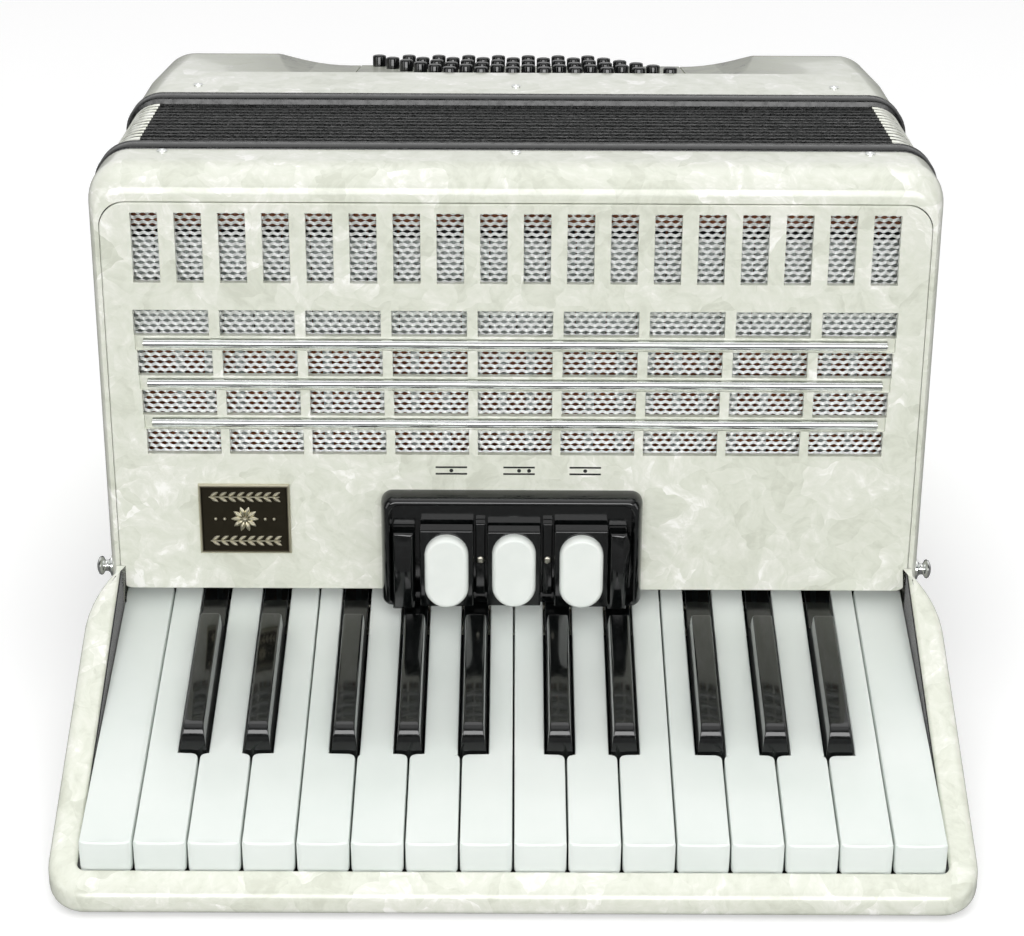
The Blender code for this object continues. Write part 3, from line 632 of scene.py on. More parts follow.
# ---- Trim bars -----------------------------------------------------------------------------
# Half-round brass strip, chromed, pinned in the panel's channels, with softened ends.
chrome = grained("bright_chrome", 260.0, 4.0, ((0.3, "#D3D6D3"), (0.7, "#E4E6E4")),
                 gloss=(0.04, 0.14, 0.35, 0.75), Metallic=1.0, Roughness=0.06)
bar_radius = 0.00185
for number, z in enumerate(bar_heights, 1):
    rings = []
    for k in range(15):
        bend = min(1.0, k / 6, (14 - k) / 6)
        size = bar_radius * (0.55 + 0.45 * math.sin(min(1.0, 3 * bend) * math.pi / 2))
        reach = bar_halves[number - 1] - 0.0005
        x = -reach + bar_radius * (1 - math.cos(min(k, 6) / 6 * math.pi / 2)) if k <= 6 else \
            reach - bar_radius * (1 - math.cos(min(14 - k, 6) / 6 * math.pi / 2)) if k >= 8 else 0.0
        arc = [math.pi * j / 10 for j in range(11)]
        rings.append([(x, channel_depth - 0.0012 - size * math.sin(a), z + size * math.cos(a)) for a in arc]
                     + [(x, channel_depth - 0.0001, z - size), (x, channel_depth - 0.0001, z + size)])
    part(f"chrome_bar_{number}", loft(rings), chrome, "treble_side", [f"trim_bar_{number}"],
         smooth=50)

# ---- Register signs ------------------------------------------------------------------------
# Two short black lines with dots between them above each switch: the usual sign for which
# reeds sound. They are printed, so they stand no prouder than the ink.
ink = grained("black_printing_ink", 2500.0, 3.0, ((0.3, "#0B0B0B"), (0.75, "#2A2A28")), Roughness=0.4)
switch_x = [sum(span(f"register_switch_{k}", "x")) / 2 for k in (1, 2, 3)]
sign_z = panel_high - 0.1048
signs = bmesh.new()
for x, dots in zip((switch_x[0] + 0.0018, switch_x[1] + 0.0018, switch_x[2] + 0.0012),
                   ((0.0,), (0.0, 0.0038), (0.0,))):
    for z in (-0.00135, 0.00135):
        slab(signs, (x - 0.006, -0.00006, sign_z + z - 0.00035), (x + 0.006, 0.0002, sign_z + z + 0.00035))
    for dot in dots:
        disc = bmesh.ops.create_cone(signs, cap_ends=True, segments=20, radius1=0.00075, radius2=0.00075,
                                     depth=0.00026)["verts"]
        bmesh.ops.rotate(signs, cent=(0, 0, 0), matrix=Matrix.Rotation(math.pi / 2, 3, "X"), verts=disc)
        bmesh.ops.translate(signs, vec=(x + dot, 0.00007, sign_z), verts=disc)
part("register_signs", signs, ink, "treble_side")

# ---- Badge ---------------------------------------------------------------------------------
# A cast brass plate, toned dark, with a painted highlight on its high places and painted shade in
# its hollows: a raised edge, a sprig of leaves along each long side and a plain rosette between them.
brass, tree, shader, place = finish("toned_brass_painted_light", Metallic=1.0, Roughness=0.36)
cast = noise(tree, place, 420.0, 5.0)
# Pointiness sets the colour: a painted highlight on convex edges and painted shade in the hollows.
painted_highlight_and_shade = add_node(tree, "ShaderNodeNewGeometry")
tint(tree, shader, painted_highlight_and_shade.outputs["Pointiness"], (0.47, "#38342A"), (0.52, "#5E5847"),
                    (0.60, "#D2CDB6"))
dull(tree, shader, cast, 0.28, 0.48)
bump(tree, shader, cast, 0.00012, 0.5)
badge_left, badge_right = span("badge_plate", "x")
badge_low, badge_high = span("badge_plate", "z")
badge_x, badge_z = (badge_left + badge_right) / 2, (badge_low + badge_high) / 2
badge_w, badge_h = (badge_right - badge_left) / 2, (badge_high - badge_low) / 2
plate_y = -0.0009


def frame_ring(inset, y):
    """Rectangle inside the badge's edge."""
    w, h = badge_w - inset, badge_h - inset
    return [(badge_x + w, y, badge_z + h), (badge_x - w, y, badge_z + h),
            (badge_x - w, y, badge_z - h), (badge_x + w, y, badge_z - h)]


badge = loft([frame_ring(0.0, -0.0002), frame_ring(0.0, -0.0010), frame_ring(0.0004, -0.0015),
              frame_ring(0.0011, -0.0015), frame_ring(0.0015, plate_y)])


def leaf(bm, x, z, angle, length, width):
    """A pointed leaf with a raised middle."""
    rows = []
    for k in range(6):
        t = k / 5
        half = width * math.sin(math.pi * min(0.97, max(0.05, t))) ** 0.8 / 2
        ridge = plate_y - 0.0007 * math.sin(math.pi * t) - 0.0001
        spots = ((-half, plate_y + 0.0001), (-half * 0.5, (plate_y + ridge) / 2 - 0.0001), (0.0, ridge),
                 (half * 0.5, (plate_y + ridge) / 2 - 0.0001), (half, plate_y + 0.0001))
        rows.append([bm.verts.new((x + math.cos(angle) * length * t - math.sin(angle) * side, y,
                                   z + math.sin(angle) * length * t + math.cos(angle) * side))
                     for side, y in spots])
    for one, two in zip(rows, rows[1:]):
        for k in range(5):
            after = (k + 1) % 5
            bm.faces.new((one[k], one[after], two[after], two[k]))
    bm.faces.new(rows[0])
    bm.faces.new(rows[-1])


for side in (-1, 1):
    stem_z = badge_z + side * (badge_h - 0.0052)
    for k in range(8):
        x = badge_x - badge_w + 0.0046 + k * 0.0034
        for way in (-1, 1):
            leaf(badge, x, stem_z + way * 0.0003, math.radians(30 * way), 0.0034, 0.0016)
    slab(badge, (badge_x - badge_w + 0.004, plate_y - 0.0003, stem_z - 0.0002),
         (badge_x + badge_w - 0.004, plate_y + 0.0001, stem_z + 0.0002))
for k in range(10):
    leaf(badge, badge_x + 0.0012 * math.cos(0.628 * k), badge_z + 0.0012 * math.sin(0.628 * k), 0.628 * k,
         0.0040, 0.0020)
hub = bmesh.ops.create_uvsphere(badge, u_segments=16, v_segments=8, radius=0.0013)["verts"]
bmesh.ops.translate(badge, vec=(badge_x, plate_y, badge_z), verts=hub)
for side in (-1, 1):
    for spot in (0.0078, 0.0112):
        bead = bmesh.ops.create_uvsphere(badge, u_segments=12, v_segments=6, radius=0.0007)["verts"]
        bmesh.ops.translate(badge, vec=(badge_x + side * spot, plate_y, badge_z), verts=bead)
part("badge", badge, brass, "treble_side", ["badge_plate"], smooth=30)

# ---- Register housing ----------------------------------------------------------------------
# A moulded box of polished black plastic, open in front: sloping top, two end blocks, a back
# plate with two dividers, and a small screw in each divider.
gloss_black = grained("polished_black_plastic", 700.0, 6.0, ((0.35, "#050606"), (0.72, "#121414")),
                      gloss=(0.09, 0.2, 0.4, 0.8), relief=(0.00002, 0.4), Roughness=0.12, IOR=1.49,
                      Coat_Weight=0.3, Coat_Roughness=0.03)
box_left, box_right = span("register_housing", "x")
box_low, box_high = span("register_housing", "z")
box_front = span("register_housing", "y")[0]
box_x, box_half = (box_left + box_right) / 2, (box_right - box_left) / 2


def housing_ring(inset, y, low=None):
    """Outline of the housing: round at the top corners, square below."""
    return outline(box_half - inset, (box_low if low is None else low) + inset * 0.4, box_high - inset,
                   0.0045, y, back=0.002, middle=box_x)


shell = loft([housing_ring(0.0, -0.0002), housing_ring(0.0, -0.0030), housing_ring(0.0006, -0.0055),
              housing_ring(0.0016, box_front + 0.0004), housing_ring(0.0022, box_front),
              housing_ring(0.0030, box_front), housing_ring(0.0034, box_front + 0.0004),
              housing_ring(0.0040, -0.0022), housing_ring(0.0040, -0.0006)])
housing = part("register_housing_shell", shell, gloss_black, "treble_side",
               ["register_housing"])
sill = bmesh.new()
slab(sill, (box_left + 0.009, -0.03, box_low - 0.01), (box_right - 0.009, -0.0032, box_low + 0.006))
carve(housing, sill)
blocks = bmesh.new()
end_width = 0.0086
for x, slant in ((box_left + 0.0042, 0.0), (box_right - 0.0042 - end_width, 0.0016)):
    low, high = box_low - 0.0012, box_high - 0.0145
    rings = []
    for inset, y in ((0.0, -0.0008), (0.0, box_front + 0.0008), (0.0007, box_front - 0.0002),
                     (0.0016, box_front - 0.0006)):
        rings.append([(x + inset, y, low + inset), (x + end_width - inset - slant, y, low + inset),
                      (x + end_width - inset, y, high - inset - 0.004),
                      (x + end_width - inset - slant, y, high - inset), (x + inset, y, high - inset)])
    block = loft(rings)
    gather(blocks, block)
for x in ((switch_x[0] + switch_x[1]) / 2, (switch_x[1] + switch_x[2]) / 2):
    slab(blocks, (x - 0.0019, -0.0050, box_low + 0.004), (x + 0.0019, -0.0006, box_high - 0.012))
part("register_blocks", blocks, gloss_black, "treble_side", soften=0.0005)
dull_steel = grained("turned_screw_steel", 1500.0, 3.0, ((0.3, "#8E8B80"), (0.7, "#C2C0B4")),
                     Metallic=1.0, Roughness=0.3)


def screw_head(radius, height):
    """A domed screw head with a cross recess, facing out along -y."""
    rows = []
    for k in range(5):
        angle = math.radians(90 * k / 4)
        size = max(0.12, math.cos(angle)) * radius if k else radius
        rows.append([(size * c, -height * math.sin(angle), size * s) for c, s in circle(16)])
    made = loft(rows)
    for turn in (45, 135):
        c, s = math.cos(math.radians(turn)), math.sin(math.radians(turn))
        bar = bmesh.ops.create_cube(made, size=1.0)["verts"]
        bmesh.ops.scale(made, vec=(radius * 1.1, height * 0.3, radius * 0.16), verts=bar)
        bmesh.ops.rotate(made, cent=(0, 0, 0), matrix=Matrix.Rotation(math.radians(turn), 3, "Y"), verts=bar)
        bmesh.ops.translate(made, vec=(0, -height * 0.92, 0), verts=bar)
    return made


points = [((switch_x[k] + switch_x[k + 1]) / 2, -0.0050, box_low + 0.0186) for k in (0, 1)]
repeat("housing_screws", screw_head(0.0016, 0.0005), points, dull_steel, "treble_side")

# ---- Register switches ---------------------------------------------------------------------
# Three black rocking tabs, each with an oval cap of white plastic pressed on its lower half.
# The middle one is pushed in.
ivory = grained("polished_white_plastic", 60.0, 3.0, ((0.3, "#E6EBE6"), (0.7, "#EFF3EE")),
                gloss=(0.16, 0.24), Roughness=0.2, IOR=1.49, Subsurface_Weight=0.06, Coat_Weight=0.25,
                Coat_Roughness=0.05, Subsurface_Radius=(0.002, 0.002, 0.002))
cap_low, cap_high = span("register_switch_1", "z")
cap_front = span("register_switch_1", "y")[0]
for number, x in enumerate(switch_x, 1):
    body = f"register_switch_{number}"
    pressed = 0.0008 if number == 2 else 0.0
    tab = bmesh.new()
    slab(tab, (x - 0.0103, cap_front + 0.0038 + pressed, box_low + 0.0006),
         (x + 0.0103, -0.0022 + pressed, cap_high + 0.0015 - pressed))
    part(f"switch_tab_{number}", tab, gloss_black, body, soften=0.0007)
    rings = []
    for k in range(9):
        angle = math.radians(90 * k / 8)
        inset = 0.0018 * (1 - math.cos(angle))
        y = cap_front + 0.0040 - 0.0012 - 0.0028 * math.sin(angle) + pressed
        rings.append(outline(0.0084 - inset, cap_low + inset, cap_high - inset, 0.0083 - inset, y,
                             middle=x))
    rings.insert(0, outline(0.0084, cap_low, cap_high, 0.0083, cap_front + 0.0042 + pressed, middle=x))
    rings.append(outline(0.0052, cap_low + 0.0035, cap_high - 0.0035, 0.0051,
                         cap_front + 0.0002 + pressed, middle=x))
    part(f"switch_cap_{number}", loft(rings), ivory, body, [body], smooth=60)

# ---- White keys ----------------------------------------------------------------------------
# Wooden levers faced with thick white plastic: a flat top, a bowed lip that hangs over the front,
# softened edges, and a notch beside each black key. The arm behind the panel lifts the pallets.
key_slope = 0.2962
key_plane_0 = 0.0164


def key_plane(y):
    return key_plane_0 + key_slope * y


def key_skin(sections, across=15, crown=0.0006):
    """Skin of a key: sections of (y, left, right, bottom, top as a function of x)."""
    rings = []
    for y, left, right, bottom, top in sections:
        xs = [left + (right - left) * (1 - math.cos(math.pi * k / (across - 1))) / 2 for k in range(across)]
        upper = []
        for x in xs:
            near = min(x - left, right - x)
            ease = crown - math.sqrt(max(0.0, crown ** 2 - max(0.0, crown - near) ** 2))
            upper.append((x, y, max(bottom + 0.0001, top(x) - ease)))
        rings.append([(x, y, bottom) for x in reversed(xs)] + upper)
    return loft(rings)


key_plastic = grained("polished_key_plastic", 22.0, 4.0, ((0.3, "#DDE4DF"), (0.7, "#E5EAE6")),
                      gloss=(0.1, 0.2), relief=(0.0003, 0.15), Roughness=0.14, IOR=1.49,
                      Subsurface_Weight=0.05, Coat_Weight=0.3, Coat_Roughness=0.04,
                      Subsurface_Radius=(0.002, 0.002, 0.002))

key_pitch = 0.019
gap = 0.0007
tip = span("white_key_01", "y")[0]
fold = tip + 0.0006
reach = 0.0020
lip_drop = 0.0108
thickness = 0.010
tail_end = 0.0078
black_x = [sum(span(f"black_key_{k:02d}", "x")) / 2 for k in range(1, 11)]
black_tip = span("black_key_01", "y")[0]
black_half = 0.0047
notch = black_tip - 0.0014
left_edge = -8 * key_pitch
for number in range(1, 17):
    left = left_edge + (number - 1) * key_pitch + gap / 2
    right = left + key_pitch - gap
    middle = (left + right) / 2
    room = black_half + 0.0009
    beside = [x for x in black_x if left - 0.006 < x < right + 0.006]
    rear_left = max([left] + [x + room for x in beside if x < middle])
    rear_right = min([right] + [x - room for x in beside if x > middle])
    sections = []
    for k in range(9):
        out = 1 - k / 8

        def lip(x, out=out):
            u = abs(x - middle) / ((right - left) / 2)
            bow = 1 - 0.22 * u * u - 0.38 * max(0.0, (u - 0.74) / 0.26) ** 2
            t = min(1.0, out / bow)
            return key_plane(fold) - lip_drop * (t ** 2.6 if t < 1 else 1.0)

        taper = 0.0007 * out
        sections.append((fold - reach * out, left + taper, right - taper,
                         key_plane(fold) - lip_drop, lip))
    for y, drop in ((fold + 0.0022, 0.0), (fold + 0.0028, 0.0008)):
        sections.append((y, left, right, key_plane(y) - lip_drop + drop, lambda x, y=y: key_plane(y)))
    bend = 0.0018
    for k in range(7):
        angle = math.radians(90 * k / 6)
        y = notch - bend + bend * math.sin(angle)
        inset = bend * (1 - math.cos(angle))
        ins_left = inset if rear_left > left else 0.0
        ins_right = inset if rear_right < right else 0.0
        sections.append((y, left + ins_left, right - ins_right, key_plane(y) - thickness,
                         lambda x, y=y: key_plane(y)))
    for y in (notch + 0.00015, tail_end):
        sections.append((y, rear_left, rear_right, key_plane(y) - thickness, lambda x, y=y: key_plane(y)))
    node = f"white_key_{number:02d}"
    part(node + "_top", key_skin(sections), key_plastic, node, [node], smooth=32)

# ---- Black keys ----------------------------------------------------------------------------
# Levers with a tall cap of polished black plastic: sides that lean in, a steep rounded front, and
# a step down to the low neck near the grille.
cap_rise = 0.009
step_y = -0.0150
low_rise = 0.0012
for number, x in enumerate(black_x, 1):
    node = f"black_key_{number:02d}"
    rings = []
    profile = []
    for k in range(8):
        angle = math.radians(90 * k / 7)
        profile.append((black_tip + 0.0034 * (1 - math.cos(angle)) ** 1.25,
                        0.0012 + (cap_rise - 0.0012) * math.sin(angle) ** 0.8))
    profile += [(black_tip + 0.0045, cap_rise), (step_y - 0.0032, cap_rise),
                (step_y - 0.0025, cap_rise - 0.0003), (step_y - 0.0018, cap_rise - 0.0014),
                (step_y - 0.0004, low_rise + 0.0009), (step_y, low_rise + 0.0002),
                (step_y + 0.0010, low_rise), (tail_end, low_rise)]
    for y, rise in profile:
        lean = 0.0011 * max(0.0, rise - low_rise) / cap_rise
        base = key_plane(y)
        top = base + rise
        round_off = min(0.0008, max(0.0002, rise * 0.4))
        ring = [(x + black_half, y, base - thickness), (x + black_half, y, base)]
        for k in range(5):
            angle = math.radians(90 * k / 4)
            ring.append((x + black_half - lean - round_off * (1 - math.cos(angle)), y,
                         top - round_off * (1 - math.sin(angle))))
        rings.append(ring + [(2 * x - a, b, c) for a, b, c in reversed(ring)])
    part(node + "_cap", loft(rings), gloss_black, node, [node], smooth=40)

# ---- Key arms and pallets ------------------------------------------------------------------
# Each key's wooden tail turns up behind the panel as an aluminium arm with a felt-faced pallet,
# the grey plates that show through the upper slots.
pallet_metal, tree, shader, place = finish("brushed_grey_pallets", Metallic=0.6, Roughness=0.45)
drag = add_node(tree, "ShaderNodeMapping", {"Vector": place, "Scale": (1.0, 1.0, 0.05)})
lines = add_node(tree, "ShaderNodeTexNoise", {"Vector": drag.outputs[0], "Scale": 2600.0, "Detail": 2.0})
tint(tree, shader, lines.outputs["Fac"], (0.3, "#A9B2B0"), (0.7, "#D2D8D6"))
keys = [f"white_key_{k:02d}" for k in range(1, 17)] + [f"black_key_{k:02d}" for k in range(1, 11)]
arm_back = span("white_key_01", "y")[1]
arm_top = span("white_key_01", "z")[1]
arms = {}
for node in keys:
    tops = [vertex.co for vertex in frame["nodes"][node].data.vertices]
    peak = max(across.dot(co) for co in tops)
    arms[node] = sum(co.x for co in tops if across.dot(co) > peak - 0.001) \
        / len([co for co in tops if across.dot(co) > peak - 0.001])
order = sorted(arms, key=arms.get)
for place_in_row, node in enumerate(order):
    x = arms[node]
    left = arms[order[place_in_row - 1]] if place_in_row else x - 0.012
    right = arms[order[place_in_row + 1]] if place_in_row + 1 < len(order) else x + 0.012
    low_x, high_x = (x + left) / 2 + 0.0002, (x + right) / 2 - 0.0002
    arm = bmesh.new()
    slab(arm, (x - 0.0016, arm_back - 0.0026, 0.012), (x + 0.0016, arm_back - 0.0004, arm_top))
    slab(arm, (x - 0.0020, 0.0076, 0.0135), (x + 0.0020, arm_back - 0.0006, 0.0175))
    slab(arm, (low_x, arm_back - 0.0006, 0.118), (high_x, arm_back + 0.0008, 0.1600))
    part(node + "_arm", arm, pallet_metal, node, soften=0.0003)
    pad = bmesh.new()
    slab(pad, (low_x + 0.0004, arm_back + 0.0009, 0.119), (high_x - 0.0004, arm_back + 0.0046, 0.163))
    part(node + "_pad", pad, felt, node)

# ---- Pallet board, reed blocks and axle ----------------------------------------------------
# Planed beech, oiled a red brown, behind the keys; the axle is a ground steel rod.
beech, tree, shader, place = finish("oiled_beech", Roughness=0.5, Coat_Weight=0.1)
drawn = add_node(tree, "ShaderNodeMapping", {"Vector": place, "Scale": (0.06, 1.0, 1.0)})
figure = add_node(tree, "ShaderNodeTexNoise", {"Vector": drawn.outputs[0], "Scale": 900.0, "Detail": 5.0,
                                               "Distortion": 0.4})
tint(tree, shader, figure.outputs["Fac"], (0.3, "#6E3418"), (0.55, "#92502B"), (0.75, "#A9683E"))
bump(tree, shader, figure.outputs["Fac"], 0.0001, 0.4)
for node in ("pallet_board", "treble_reed_block", "bass_reed_block"):
    frame["nodes"][node].data.materials.clear()
    frame["nodes"][node].data.materials.append(beech)
rail = bmesh.new()
board_front = span("pallet_board", "y")[0]
slab(rail, (-0.146, board_front - 0.0064, 0.1645), (0.146, board_front - hair, 0.1765))
part("upper_rail", rail, beech, "treble_side", soften=0.0006)
frame["nodes"]["key_axle"].data.materials.clear()
frame["nodes"]["key_axle"].data.materials.append(dull_steel)

# ---- Strap studs ---------------------------------------------------------------------------
# Turned brass studs, chromed, that the shoulder straps hook on: a flange, a neck and a head.
for name, side in (("left", -1), ("right", 1)):
    start, end = casing_half + hair, casing_half + 0.0070
    middle_y = sum(span("strap_stud_left", "y")) / 2
    middle_z = sum(span("strap_stud_left", "z")) / 2
    rings = []
    for along_stud, radius in ((0.0, 0.0040), (0.10, 0.0042), (0.16, 0.0041), (0.22, 0.0030), (0.34, 0.0023),
                               (0.50, 0.0022), (0.58, 0.0026), (0.64, 0.0035), (0.74, 0.0038),
                               (0.86, 0.0034), (0.95, 0.0022), (1.0, 0.0008)):
        x = side * (start + (end - start) * along_stud)
        rings.append([(x, middle_y + radius * c, middle_z + radius * s) for c, s in circle(24)])
    part(f"turned_stud_{name}", loft(rings), chrome, "treble_side", [f"strap_stud_{name}"],
         smooth=50)

# ---- Bellows frames ------------------------------------------------------------------------
# The two wooden frames that the bellows are glued to, lacquered black, rounded at their edges.
lacquer = grained("black_lacquer", 380.0, 5.0, ((0.3, "#060707"), (0.7, "#121413")),
                  gloss=(0.16, 0.34, 0.35, 0.7), relief=(0.00006, 0.5), Roughness=0.22, IOR=1.5)
proud = 0.0009
for node, body in (("treble_bellows_frame", "treble_side"), ("bass_bellows_frame", "bass_side")):
    near, far = span(node, "y")
    rings = []
    for inset, y in ((0.0012, near), (0.0004, near + 0.0004), (0.0, near + 0.0012),
                     (0.0, far - 0.0012), (0.0004, far - 0.0004), (0.0012, far)):
        rings.append(outline(casing_half + proud - inset, inset - proud, casing_front + proud - inset,
                             corner + proud - inset, y, back_corner + proud - inset))
    inner = 0.012
    for y in (far, near):
        rings.append(outline(casing_half + proud - inner, inner - proud, casing_front + proud - inner,
                             corner + proud - inner, y, 0.002))
    part(node + "_wood", loft(rings, closed=True), lacquer, body, [node])

# ---- Bellows pins --------------------------------------------------------------------------
# Plated pins with dimpled heads hold the frames to the casings, three along the front and three
# along the back of each.
pin = loft([[(radius * c, -height, radius * s) for c, s in circle(18)]
            for radius, height in ((0.0020, -0.0003), (0.0020, 0.0003), (0.0017, 0.0006), (0.0013, 0.0007),
                                   (0.0009, 0.0006), (0.0006, 0.0003), (0.0002, 0.0002))])
pin_rows = (("treble_side", casing_depth - 0.0040), ("bass_side", 0.1314))
for body, y in pin_rows:
    points = [(x, y, z) for z in (casing_front, 0.0) for x in (-0.1315, 0.0, 0.1315)]
    turns = [(-math.pi / 2, 0, 0)] * 3 + [(math.pi / 2, 0, 0)] * 3
    repeat(f"bellows_pins_{body}", pin.copy(), points, chrome, body, turns=turns)
pin.free()

# ---- Bellows -------------------------------------------------------------------------------
# Fourteen folds of card covered in grained black cloth. Each fold is bound at its four corners
# with a bent cap of nickel silver.
cloth, tree, shader, place = finish("grained_bellows_cloth", Roughness=0.38, IOR=1.36)
grain = add_node(tree, "ShaderNodeTexVoronoi", {"Vector": place, "Scale": 900.0, "Randomness": 1.0})
weave = noise(tree, place, 240.0, 6.0)
tint(tree, shader, weave, (0.32, "#030404"), (0.7, "#131615"))
dull(tree, shader, weave, 0.18, 0.45, 0.35, 0.65)
bump(tree, shader, grain.outputs["Distance"], 0.0009, 1.0)
folds = 14
near, far = span("bellows", "y")
fold_pitch = (far - near) / folds
ridge_in = 0.0015
valley_in = 0.0115
wobble = random.Random(11)


def bellows_ring(inset, y, steps=12):
    """Outline of the folds at a depth below the casings' skin."""
    return outline(casing_half - inset, inset, casing_front - inset, max(corner - inset, 0.0015), y,
                   max(back_corner - inset, 0.0015), steps)


fold_line = ((0.0, valley_in), (0.10, 0.0042), (0.15, 0.0026), (0.22, 0.0018), (0.32, ridge_in + 0.0001),
             (0.5, ridge_in), (0.68, ridge_in + 0.0001), (0.78, 0.0018), (0.85, 0.0026), (0.90, 0.0042))
rings = []
for fold in range(folds):
    sway = wobble.uniform(-0.00018, 0.00018)
    for t, inset in fold_line:
        rings.append(bellows_ring(inset + (0.0 if t == 0.0 else abs(sway)), near + (fold + t) * fold_pitch
                                  + sway * math.sin(math.pi * t)))
rings.append(bellows_ring(valley_in, far))
for y in (far, near):
    rings.append(bellows_ring(0.0155, y))
bellows_mesh = part("bellows_folds", loft(rings, closed=True), cloth, None, smooth=50)

nickel = grained("nickel_silver_caps", 300.0, 5.0, ((0.3, "#D3D5C8"), (0.7, "#F4F5EE")),
                 gloss=(0.24, 0.42, 0.35, 0.7), Metallic=1.0, Roughness=0.2)


def corner_path(side, front):
    """Middle line of one corner cap, with its outward directions."""
    radius = (corner if front else back_corner) - ridge_in
    x = side * (casing_half - ridge_in - radius)
    z = casing_front - ridge_in - radius if front else ridge_in + radius
    up = 1 if front else -1
    line = [((side * 0.1335, z + up * radius), (0, up))]
    for k in range(10):
        angle = math.radians(90 - 10 * k)
        out = (side * math.cos(angle), up * math.sin(angle))
        line.append(((x + radius * out[0], z + radius * out[1]), out))
    line.append(((side * (casing_half - ridge_in), z - up * 0.014), (side, 0)))
    return line[1:] if front else line


caps = bmesh.new()
cap_line = ((-0.31, 0.0011), (-0.25, 0.0002), (-0.12, -0.00025), (0.12, -0.00025), (0.25, 0.0002),
            (0.31, 0.0011), (0.26, 0.0013), (0.0, 0.0004), (-0.26, 0.0013))
for side in (-1, 1):
    for front in (True, False):
        rings = [[(flat[0] - out[0] * inset, t * fold_pitch, flat[1] - out[1] * inset)
                  for t, inset in cap_line] for flat, out in corner_path(side, front)]
        cap = loft(rings)
        gather(caps, cap)
points = [(0.0, near + (fold + 0.5) * fold_pitch, 0.0) for fold in range(folds)]
cap_mesh = repeat("bellows_corner_caps", caps, points, nickel, None, smooth=50)
for made, slot in ((bellows_mesh, "bellows_cloth"), (cap_mesh, "chrome")):
    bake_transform(made)
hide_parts("bellows")

# ---- Bass casing ---------------------------------------------------------------------------
# A wooden shell in the same celluloid, its end rounded over. A wide scoop in its front carries the
# buttons, so that a raised ear stands at each side.
bass_near = span("bass_casing", "y")[0]
bass_end = span("bass_casing", "y")[1]
scoop_start = bass_near + 0.040
scoop_angle = math.radians(8.0)
scoop_z = casing_front - 0.003
end_round = 0.026
side_round = 0.014
room = wall + 0.001


def field(x, y, z):
    """A point given in the scoop's sloping floor, in the instrument's axes."""
    c, s = math.cos(scoop_angle), math.sin(scoop_angle)
    return (x, scoop_start + y * c + z * s, scoop_z - y * s + z * c)


def floor_height(y):
    return scoop_z - math.tan(scoop_angle) * (y - scoop_start)


rings = []
for y, high, pull in ((bass_end - wall, floor_height(bass_end) - room, side_round),
                      (scoop_start, scoop_z - room, 0.0),
                      (scoop_start - room, casing_front - wall, 0.0), (bass_near, casing_front - wall, 0.0)):
    rings.append(outline(casing_half - wall - pull, wall + pull / 2, high, corner - wall, y,
                         back_corner - wall))
edge = 0.0006
rings.append(outline(casing_half - edge, edge, casing_front - edge, corner - edge, bass_near,
                     back_corner - edge))
front_fall = 0.004
for y in (bass_near + edge, scoop_start):
    rings.append(outline(casing_half, 0.0, casing_front, corner, y, back_corner))
for k in range(17):
    angle = math.radians(90 * k / 16)
    inset = 1 - math.cos(angle)
    rings.append(outline(casing_half - side_round * inset, side_round / 2 * inset,
                         casing_front - front_fall - (end_round - front_fall) * inset, corner,
                         bass_end - end_round * (1 - math.sin(angle)), back_corner))
bass_shell = part("bass_casing_shell", loft(rings), pearl, "bass_side", ["bass_casing"],
                  soften=0.0012, joint_steps=3)
section = []
for k in range(17):
    angle = math.radians(55 * k / 16)
    section.append((0.075 + 0.080 * math.sin(angle), 0.080 * (1 - math.cos(angle))))
section += [(-x, up) for x, up in reversed(section)]
carve(bass_shell, loft([[field(x, y, up) for x, up in section] for y in (0.0, 0.117)]))
row_x = [-0.0284 - 0.00666 * row for row in range(6)]
row_y = [0.0065 + 0.0125 * row for row in range(6)]
button_pitch = 0.01345
button_radius = 0.003
plate_margin = 0.0055
plate_left = row_x[5] - plate_margin - button_radius
plate_right = row_x[0] + button_pitch * 7 + plate_margin + button_radius
plate_near, plate_far = row_y[0] - plate_margin, row_y[5] + plate_margin


def field_slab(low, high):
    """A block lying square to the scoop's floor."""
    bm = bmesh.new()
    slab(bm, low, high)
    for vertex in bm.verts:
        vertex.co = field(*vertex.co)
    return bm


carve(bass_shell, field_slab((plate_left - hair, plate_near - hair, -0.03),
                             (plate_right + hair, plate_far + hair, 0.01)))
air_x, air_z = (sum(span("air_button", letter)) / 2 for letter in "xz")
carve(bass_shell, turned_shape(air_x, air_z, ((bass_end - 0.02, 0.0035), (bass_end + 0.02, 0.0035)), 24))

# ---- Button plate --------------------------------------------------------------------------
# A thin plate let into the scoop's floor, drilled for 48 buttons in six slanting rows.
plate_shape = field_slab((plate_left, plate_near, -0.002), (plate_right, plate_far, 0.0))
button_plate = part("button_plate", plate_shape, pearl, "bass_side", ["bass_button_plate"])
drill = bmesh.new()
for x, y in zip(row_x, row_y):
    for k in range(8):
        hole = bmesh.ops.create_cone(drill, cap_ends=True, segments=24, radius1=0.0035, radius2=0.0035,
                                     depth=0.02)["verts"]
        bmesh.ops.translate(drill, vec=(x + k * button_pitch, y, 0.0), verts=hole)
for vertex in drill.verts:
    vertex.co = field(*vertex.co)
carve(button_plate, drill)
round_edges(button_plate, 0.00025, 1, 50, harden=False)

